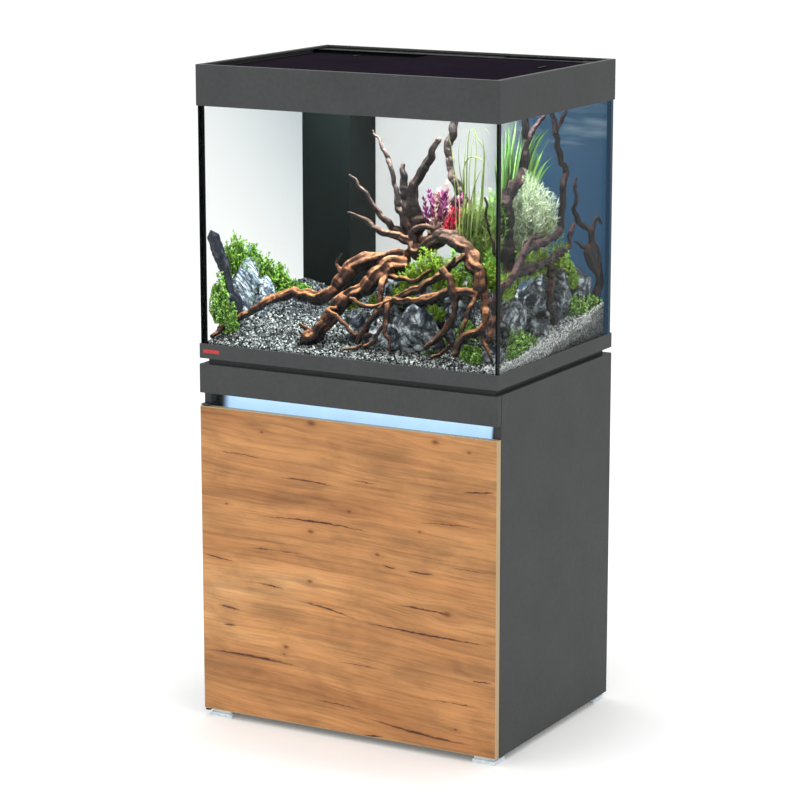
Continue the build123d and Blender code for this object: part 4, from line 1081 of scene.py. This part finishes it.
def rocks():
    blue = veined_rock("blue_rock", (0.010, 0.014, 0.021), (0.10, 0.12, 0.15), (0.56, 0.60, 0.64))
    pale = veined_rock("pale_rock", (0.035, 0.055, 0.09), (0.25, 0.31, 0.38), (0.66, 0.72, 0.76),
                       (2.2, 0.5, 2.4), (0.65, 0, 0))
    for number in range(0, len(BLUE_ROCKS), 2):
        pair = [rock(*BLUE_ROCKS[k], seed=31 + k) for k in range(number, min(number + 2, len(BLUE_ROCKS)))]
        points, faces = stacked(pair)
        piece(f"blue_rocks_{number // 2}", points, faces.tolist(), blue,
              replaced=("rocks",) if number == 0 else ())
    points, faces = stacked([rock(*each, seed=71 + k, lean=0.45) for k, each in enumerate(PALE_ROCKS)])
    piece("pale_rocks", points, faces.tolist(), pale)


# ---- Plants --------------------------------------------------------------------------------------------


def kept_in(points):
    """Points pressed back inside the panes, off the shaft and above the tank floor."""
    points = between_panes(points)
    points[:, 2] = np.clip(points[:, 2], TANK_FLOOR + 0.002, HOOD_BOTTOM + 0.006)
    points[behind_shaft_front(points[:, 0], points[:, 1], 0.002), 1] = SHAFT_FRONT - 0.002
    return points


def leaves(starts, ways, lengths, widths, rng):
    """Folded leaves: each has a stalk end, two points on either side and a tip."""
    up = unit(np.cross(ways, rng.normal(size=ways.shape)))
    side = np.cross(ways, up)
    long, wide = lengths[:, None], widths[:, None]
    droop = up * long * rng.uniform(-0.15, 0.2, (len(ways), 1))
    rows = [starts]
    for along, spread in ((0.35, 0.46), (0.7, 0.40)):
        rows.append(starts + ways * long * along + side * wide * spread + up * wide * 0.16 + droop * along)
    rows.append(starts + ways * long + droop)
    for along, spread in ((0.7, 0.40), (0.35, 0.46)):
        rows.append(starts + ways * long * along - side * wide * spread + up * wide * 0.16 + droop * along)
    points = np.stack(rows, 1).reshape(-1, 3)
    first = np.arange(len(starts))[:, None] * 6
    faces = np.vstack([first + np.array([0, 1, 2, 3]), first + np.array([0, 3, 4, 5])])
    return points, faces


def stems(starts, ends, thickness, rng, bow=0.12):
    """Thin three-sided stems, each bowed a little; returns the mesh and the middle lines."""
    steps = 6
    t = np.linspace(0, 1, steps)[None, :, None]
    away = rng.normal(size=(len(starts), 1, 3)) * np.linalg.norm(ends - starts, axis=1)[:, None, None] * bow
    lines = starts[:, None] * (1 - t) + ends[:, None] * t + away * np.sin(t * math.pi)
    flat = np.stack([np.cos(angles_round(3)), np.sin(angles_round(3)), np.zeros(3)], -1)
    taper = (1 - 0.6 * t)[..., None]
    rings = lines[:, :, None] + flat[None, None] * thickness * taper
    points = rings.reshape(-1, 3)
    base = np.arange(len(starts))[:, None, None] * steps * 3 + np.arange(steps - 1)[None, :, None] * 3
    a = (base + np.arange(3)[None, None]).reshape(-1)
    b = (base + (np.arange(3)[None, None] + 1) % 3).reshape(-1)
    return (points, np.stack([a, b, b + 3, a + 3], -1)), lines


def on_lines(lines, which, share):
    """Places and directions at a share of the way along chosen lines."""
    last = lines.shape[1] - 1
    at = np.minimum((share * last).astype(int), last - 1)
    part = (share * last - at)[:, None]
    a, b = lines[which, at], lines[which, at + 1]
    return a * (1 - part) + b * part, unit(b - a)


def bush(name, clumps, twigs, per_twig, leaf, material, seed, upright=0.25, replaced=()):
    """Twigs that spread from each clump's foot to its outside, with leaves along their outer part.

    A clump is its middle x and y, foot, top and half width and half depth, in millimetres."""
    rng = np.random.default_rng(seed)
    parts = []
    for x, y, foot, top, wide, deep in clumps:
        share = max(12, int(twigs * (wide * deep * (top - foot)) ** (1 / 3) / 40))
        ways = unit(rng.normal(size=(share, 3)) + (0, 0, upright))
        ways[:, 2] = np.abs(ways[:, 2])
        reach = rng.uniform(0.7, 1.05, (share, 1))
        size = np.array([wide, deep, top - foot]) * MM
        base = np.array([x, y, foot]) * MM
        ends = base + ways * reach * size
        ends += wander(ends, 60, 0.012, seed)
        starts = base + ways * (1, 1, 0) * size * 0.35
        mesh, lines = stems(starts, ends, 0.0005, rng)
        parts.append(mesh)
        which = np.repeat(np.arange(share), per_twig)
        spots, ahead = on_lines(lines, which, rng.uniform(0.3, 1.0, len(which)))
        out = unit(ahead * 0.7 + rng.normal(size=ahead.shape) * 0.75 + (0, 0, 0.2))
        long = rng.uniform(0.7, 1.3, len(which)) * leaf[0] * MM
        parts.append(leaves(spots, out, long, long * leaf[1] / leaf[0], rng))
    points, faces = stacked(parts)
    return piece(name, kept_in(points), faces.tolist(), material, replaced=replaced)


# Grass blades, each a route from its foot to its tip, in millimetres.
ARCHES = (
    ((185, -90, 1070), (190, -98, 1210), (194, -100, 1270), (201, -100, 1352)),
    ((180, -90, 1080), (175, -98, 1200), (160, -100, 1289), (136, -100, 1356)),
    ((190, -90, 1070), (196, -98, 1220), (208, -104, 1322), (227, -108, 1312), (249, -112, 1278),
     (256, -112, 1223)),
    ((182, -88, 1150), (188, -96, 1235), (205, -100, 1266), (235, -104, 1264), (260, -108, 1236)),
    ((200, -88, 1070), (217, -98, 1230), (222, -100, 1300), (207, -104, 1354)),
    ((210, -88, 1070), (234, -98, 1200), (241, -102, 1290), (226, -104, 1348)),
    ((195, -90, 1070), (207, -98, 1180), (236, -102, 1244), (262, -106, 1258)),
    ((172, -88, 1080), (166, -96, 1200), (168, -98, 1262)),
    ((205, -88, 1070), (200, -96, 1190), (214, -104, 1290), (240, -108, 1330), (258, -110, 1318)),
    ((190, -86, 1080), (184, -94, 1190), (178, -98, 1280), (186, -100, 1330)),
)
SWEEPS = (
    ((232, 0, 1060), (236, -10, 1200), (240, -19, 1300), (240, -30, 1352)),
    ((232, 10, 1060), (236, 4, 1210), (240, 0, 1310), (240, 8, 1354)),
    ((226, 20, 1060), (232, 22, 1200), (238, 24, 1300), (238, 36, 1350)),
    ((226, 30, 1060), (232, 40, 1200), (236, 56, 1280), (238, 74, 1320)),
    ((236, 6, 1060), (238, 10, 1180), (242, 26, 1270), (242, 54, 1310)),
    ((230, 0, 1060), (238, -24, 1170), (244, -34, 1230), (246, -38, 1270)),
    ((240, 70, 1120), (242, 96, 1200), (244, 126, 1250), (244, 156, 1285)),
    ((236, 60, 1110), (240, 90, 1210), (242, 130, 1275), (242, 190, 1302)),
    ((240, 80, 1120), (244, 110, 1190), (246, 140, 1226), (246, 176, 1242)),
    ((234, 66, 1120), (238, 80, 1220), (240, 104, 1280), (240, 140, 1320)),
)


def blades(name, routes, count, width, material, seed):
    """Folded grass blades along each of the routes, count of them spread about it."""
    rng = np.random.default_rng(seed)
    parts = []
    for route in routes:
        for _ in range(count):
            line = smooth_route(np.array(route) * MM, 0.012)
            t = np.linspace(0, 1, len(line))[:, None]
            line = line + t * rng.normal(size=3) * 0.010 * (count > 1) + wander(line, 18, 0.004, seed)
            ahead, across, fold = frames(line)
            broad = np.sin(np.clip(t * 1.05 + 0.10, 0, 1) * math.pi) ** 0.6 + 0.05
            half = width * MM / 2 * rng.uniform(0.7, 1.1) * broad
            rows = [line - across * half, line + fold * half * 0.4, line + across * half]
            a = np.arange(len(line) - 1) * 3
            halves = [np.stack([a + k, a + k + 1, a + k + 4, a + k + 3], -1) for k in (0, 1)]
            parts.append((np.stack(rows, 1).reshape(-1, 3), np.vstack(halves)))
    points, faces = stacked(parts)
    return piece(name, kept_in(points), faces.tolist(), material)


def whorls(name, clumps, stem_count, leaf, step, material, seed, around=6, lift=0.5):
    """Upright stems with leaves in whorls, in clumps that are given as for a bush."""
    rng = np.random.default_rng(seed)
    parts = []
    for x, y, foot, top, wide, deep in clumps:
        angle = rng.uniform(0, 2 * math.pi, stem_count)
        far = np.sqrt(rng.uniform(0, 1, stem_count))
        flat = np.stack([np.cos(angle) * far * wide, np.sin(angle) * far * deep], -1) * MM
        middle = np.array([x, y]) * MM
        starts = np.column_stack([middle + flat * 0.45, np.full(stem_count, foot * MM)])
        tops = (top - (top - foot) * 0.45 * far ** 2 * rng.uniform(0.5, 1.2, stem_count)) * MM
        ends = np.column_stack([middle + flat, tops])
        mesh, lines = stems(starts, ends, 0.0008, rng, 0.06)
        parts.append(mesh)
        count = max(3, int((top - foot) / step))
        which = np.repeat(np.arange(stem_count), count * around)
        share = np.tile(np.repeat(np.linspace(0.15, 1.0, count), around), stem_count)
        spots, ahead = on_lines(lines, which, np.minimum(share, 0.999))
        turn = np.tile(angles_round(around), stem_count * count) + share * 40
        ring = np.stack([np.cos(turn), np.sin(turn), np.zeros_like(turn)], -1)
        out = unit(ring + ahead * lift + rng.normal(size=ring.shape) * 0.15)
        long = leaf[0] * MM * (1.1 - 0.5 * share) * rng.uniform(0.75, 1.2, len(which))
        parts.append(leaves(spots, out, long, np.full(len(which), leaf[1] * MM), rng))
    points, faces = stacked(parts)
    return piece(name, kept_in(points), faces.tolist(), material)


# Leaf colours: dark, middle and light.
LEAVES = {
    "fresh": ((0.035, 0.115, 0.012), (0.15, 0.36, 0.035), (0.42, 0.66, 0.14)),
    "bright": ((0.05, 0.16, 0.02), (0.24, 0.52, 0.07), (0.60, 0.85, 0.28)),
    "lime": ((0.08, 0.18, 0.008), (0.26, 0.48, 0.03), (0.55, 0.74, 0.11)),
    "deep": ((0.012, 0.045, 0.014), (0.05, 0.16, 0.03), (0.16, 0.36, 0.07)),
    "olive": ((0.08, 0.13, 0.02), (0.20, 0.30, 0.06), (0.42, 0.52, 0.16)),
    "pale": ((0.20, 0.30, 0.12), (0.50, 0.60, 0.36), (0.92, 0.97, 0.80)),
    "grass": ((0.025, 0.075, 0.02), (0.075, 0.175, 0.035), (0.18, 0.32, 0.075)),
    "sedge": ((0.05, 0.07, 0.02), (0.12, 0.17, 0.045), (0.24, 0.31, 0.10)),
    "magenta": ((0.05, 0.006, 0.05), (0.20, 0.015, 0.14), (0.46, 0.10, 0.28)),
    "crimson": ((0.16, 0.004, 0.02), (0.62, 0.015, 0.06), (0.80, 0.12, 0.16)),
    "rosy": ((0.14, 0.05, 0.06), (0.42, 0.22, 0.20), (0.80, 0.62, 0.54)),
}


def plants():
    look = {name: leafy("leaf_" + name, *colours) for name, colours in LEAVES.items()}
    bush("left_bush_front", ((-339, -176, 985, 1082, 12, 24), (-334, -150, 985, 1066, 16, 30)), 130, 24,
         (6, 3.2), look["fresh"], 11, replaced=("plants_left",))
    bush("left_bush_rear", ((-330, -110, 980, 1044, 20, 34), (-326, -60, 950, 1014, 24, 34),
         (-322, -8, 915, 990, 26, 32), (-318, 40, 900, 950, 30, 30), (-310, 84, 895, 925, 32, 24)), 100, 24,
         (6, 3.4), look["fresh"], 12)
    bush("left_shade", ((-330, -150, 930, 1000, 18, 40), (-326, -60, 905, 960, 20, 50),
         (-312, 40, 890, 935, 26, 50)), 90, 22, (6, 3.4), look["deep"], 13)
    bush("left_carpet", ((-345, -232, 885, 1005, 6, 12), (-341, -222, 885, 985, 10, 16),
         (-328, -222, 878, 950, 18, 16), (-342, -204, 900, 970, 8, 22), (-314, -226, 868, 912, 14, 14)), 170,
         26, (5.5, 4.2), look["bright"], 14)
    bush("moss_arch", ((112, -112, 1000, 1072, 34, 26), (148, -116, 985, 1060, 26, 24),
         (72, -112, 985, 1036, 24, 22), (185, -122, 975, 1030, 26, 22), (222, -124, 975, 1015, 22, 18)), 150,
         34, (4.5, 1.6), look["lime"], 15, replaced=("plants_right",))
    bush("moss_low", ((56, -130, 950, 990, 30, 18), (82, -150, 945, 975, 26, 16),
         (-10, -124, 932, 962, 22, 16), (-60, -126, 925, 955, 20, 14), (150, -150, 925, 962, 24, 16)), 110,
         30, (4.5, 1.6), look["lime"], 16)
    bush("moss_side", ((296, -20, 1005, 1068, 18, 44), (290, 60, 1005, 1072, 24, 44),
         (300, 140, 985, 1066, 24, 40), (310, 160, 960, 1022, 20, 26), (296, -120, 975, 1036, 24, 24),
         (268, -118, 995, 1056, 24, 20)), 150, 32, (5, 2.0), look["lime"], 17)
    bush("low_front", ((160, -170, 852, 905, 30, 22), (140, -150, 850, 885, 26, 20),
         (262, -204, 850, 888, 24, 18), (240, -170, 895, 935, 24, 20), (285, -215, 848, 880, 16, 14)), 140,
         26, (6.0, 3.8), look["bright"], 18)
    bush("clumps_side", ((330, -112, 856, 908, 20, 44), (336, -150, 850, 880, 12, 26),
         (328, 168, 896, 942, 22, 36), (338, 222, 900, 938, 12, 26), (336, 250, 900, 930, 12, 12),
         (334, -68, 866, 896, 14, 20)), 170, 28, (6, 3.6), look["bright"], 19)
    bush("olive_feathers", ((206, -68, 1085, 1190, 36, 24), (232, -62, 1050, 1160, 26, 24),
         (178, -60, 1090, 1160, 24, 20)), 60, 46, (10, 0.9), look["olive"], 20, upright=0.9)
    bush("rear_feathers", ((200, -30, 1030, 1180, 38, 24), (232, -40, 1030, 1200, 26, 22),
         (262, -112, 1010, 1080, 22, 20)), 55, 46, (10, 1.0), look["fresh"], 21, upright=0.9)
    bush("pale_bush", ((262, 52, 1075, 1222, 34, 62), (256, 130, 1075, 1180, 32, 70),
         (262, 60, 1040, 1110, 38, 60)), 70, 60, (15, 0.8), look["pale"], 22, upright=0.7)
    bush("pale_heart", ((258, 90, 1040, 1170, 28, 70),), 60, 40, (12, 1.2), look["olive"], 30, upright=0.7)
    whorls("magenta_stems", ((80, -40, 1085, 1176, 24, 18), (110, -38, 1090, 1180, 20, 18),
           (150, -30, 1090, 1170, 16, 16)), 8, (22, 4.6), 13, look["magenta"], 23, around=4, lift=1.9)
    whorls("crimson_stems", ((138, -60, 1085, 1152, 13, 12), (156, -56, 1090, 1140, 9, 9)), 5, (19, 4.6), 12,
           look["crimson"], 28, around=4, lift=1.7)
    whorls("rosy_stems", ((120, -44, 1085, 1196, 26, 14), (146, -44, 1080, 1178, 20, 14),
           (100, -62, 1085, 1122, 12, 10)), 7, (19, 3.4), 13, look["rosy"], 24, around=4, lift=1.8)
    whorls("rear_bush", ((60, 110, 950, 1032, 44, 30), (10, 120, 930, 1010, 34, 26),
           (110, 110, 960, 1060, 50, 30)), 18, (10, 2.6), 7, look["fresh"], 25, lift=0.4)
    blades("grass_arching", ARCHES, 1, 7.0, look["sedge"], 26)
    blades("grass_side", SWEEPS, 4, 8.5, look["grass"], 27)


def water_surface():
    """The water's rippled top, just above the hood's lower edge."""
    x, y, cells = grid(70, 52, 0.0005)
    points = np.stack([x, y, np.full_like(x, HOOD_BOTTOM + 0.004)], -1).reshape(-1, 3)
    points[:, 2] += wander(points, 16, 0.0012)[:, 2]
    faces = cells[~behind_shaft_front(x[:-1, :-1], y[1:, 1:])]
    piece("water_surface", points, faces.tolist(), water(), smooth=True)


set_camera()
studio()
paint_frame()
gravel()
driftwood("driftwood_main", MAIN_LIMBS, bark("driftwood", (1, 1, 1), 1.07), 1.0, ("driftwood",))
# The right limbs: the same bark, darkened and tinted purple by painted shade.
driftwood("driftwood_right", RIGHT_LIMBS, bark("driftwood_painted_shade", (0.5, 0.42, 0.52), 1.0), 60.0)
driftwood("driftwood_left", LEFT_LIMBS, navy_wood(), 90.0)
rocks()
plants()
water_surface()
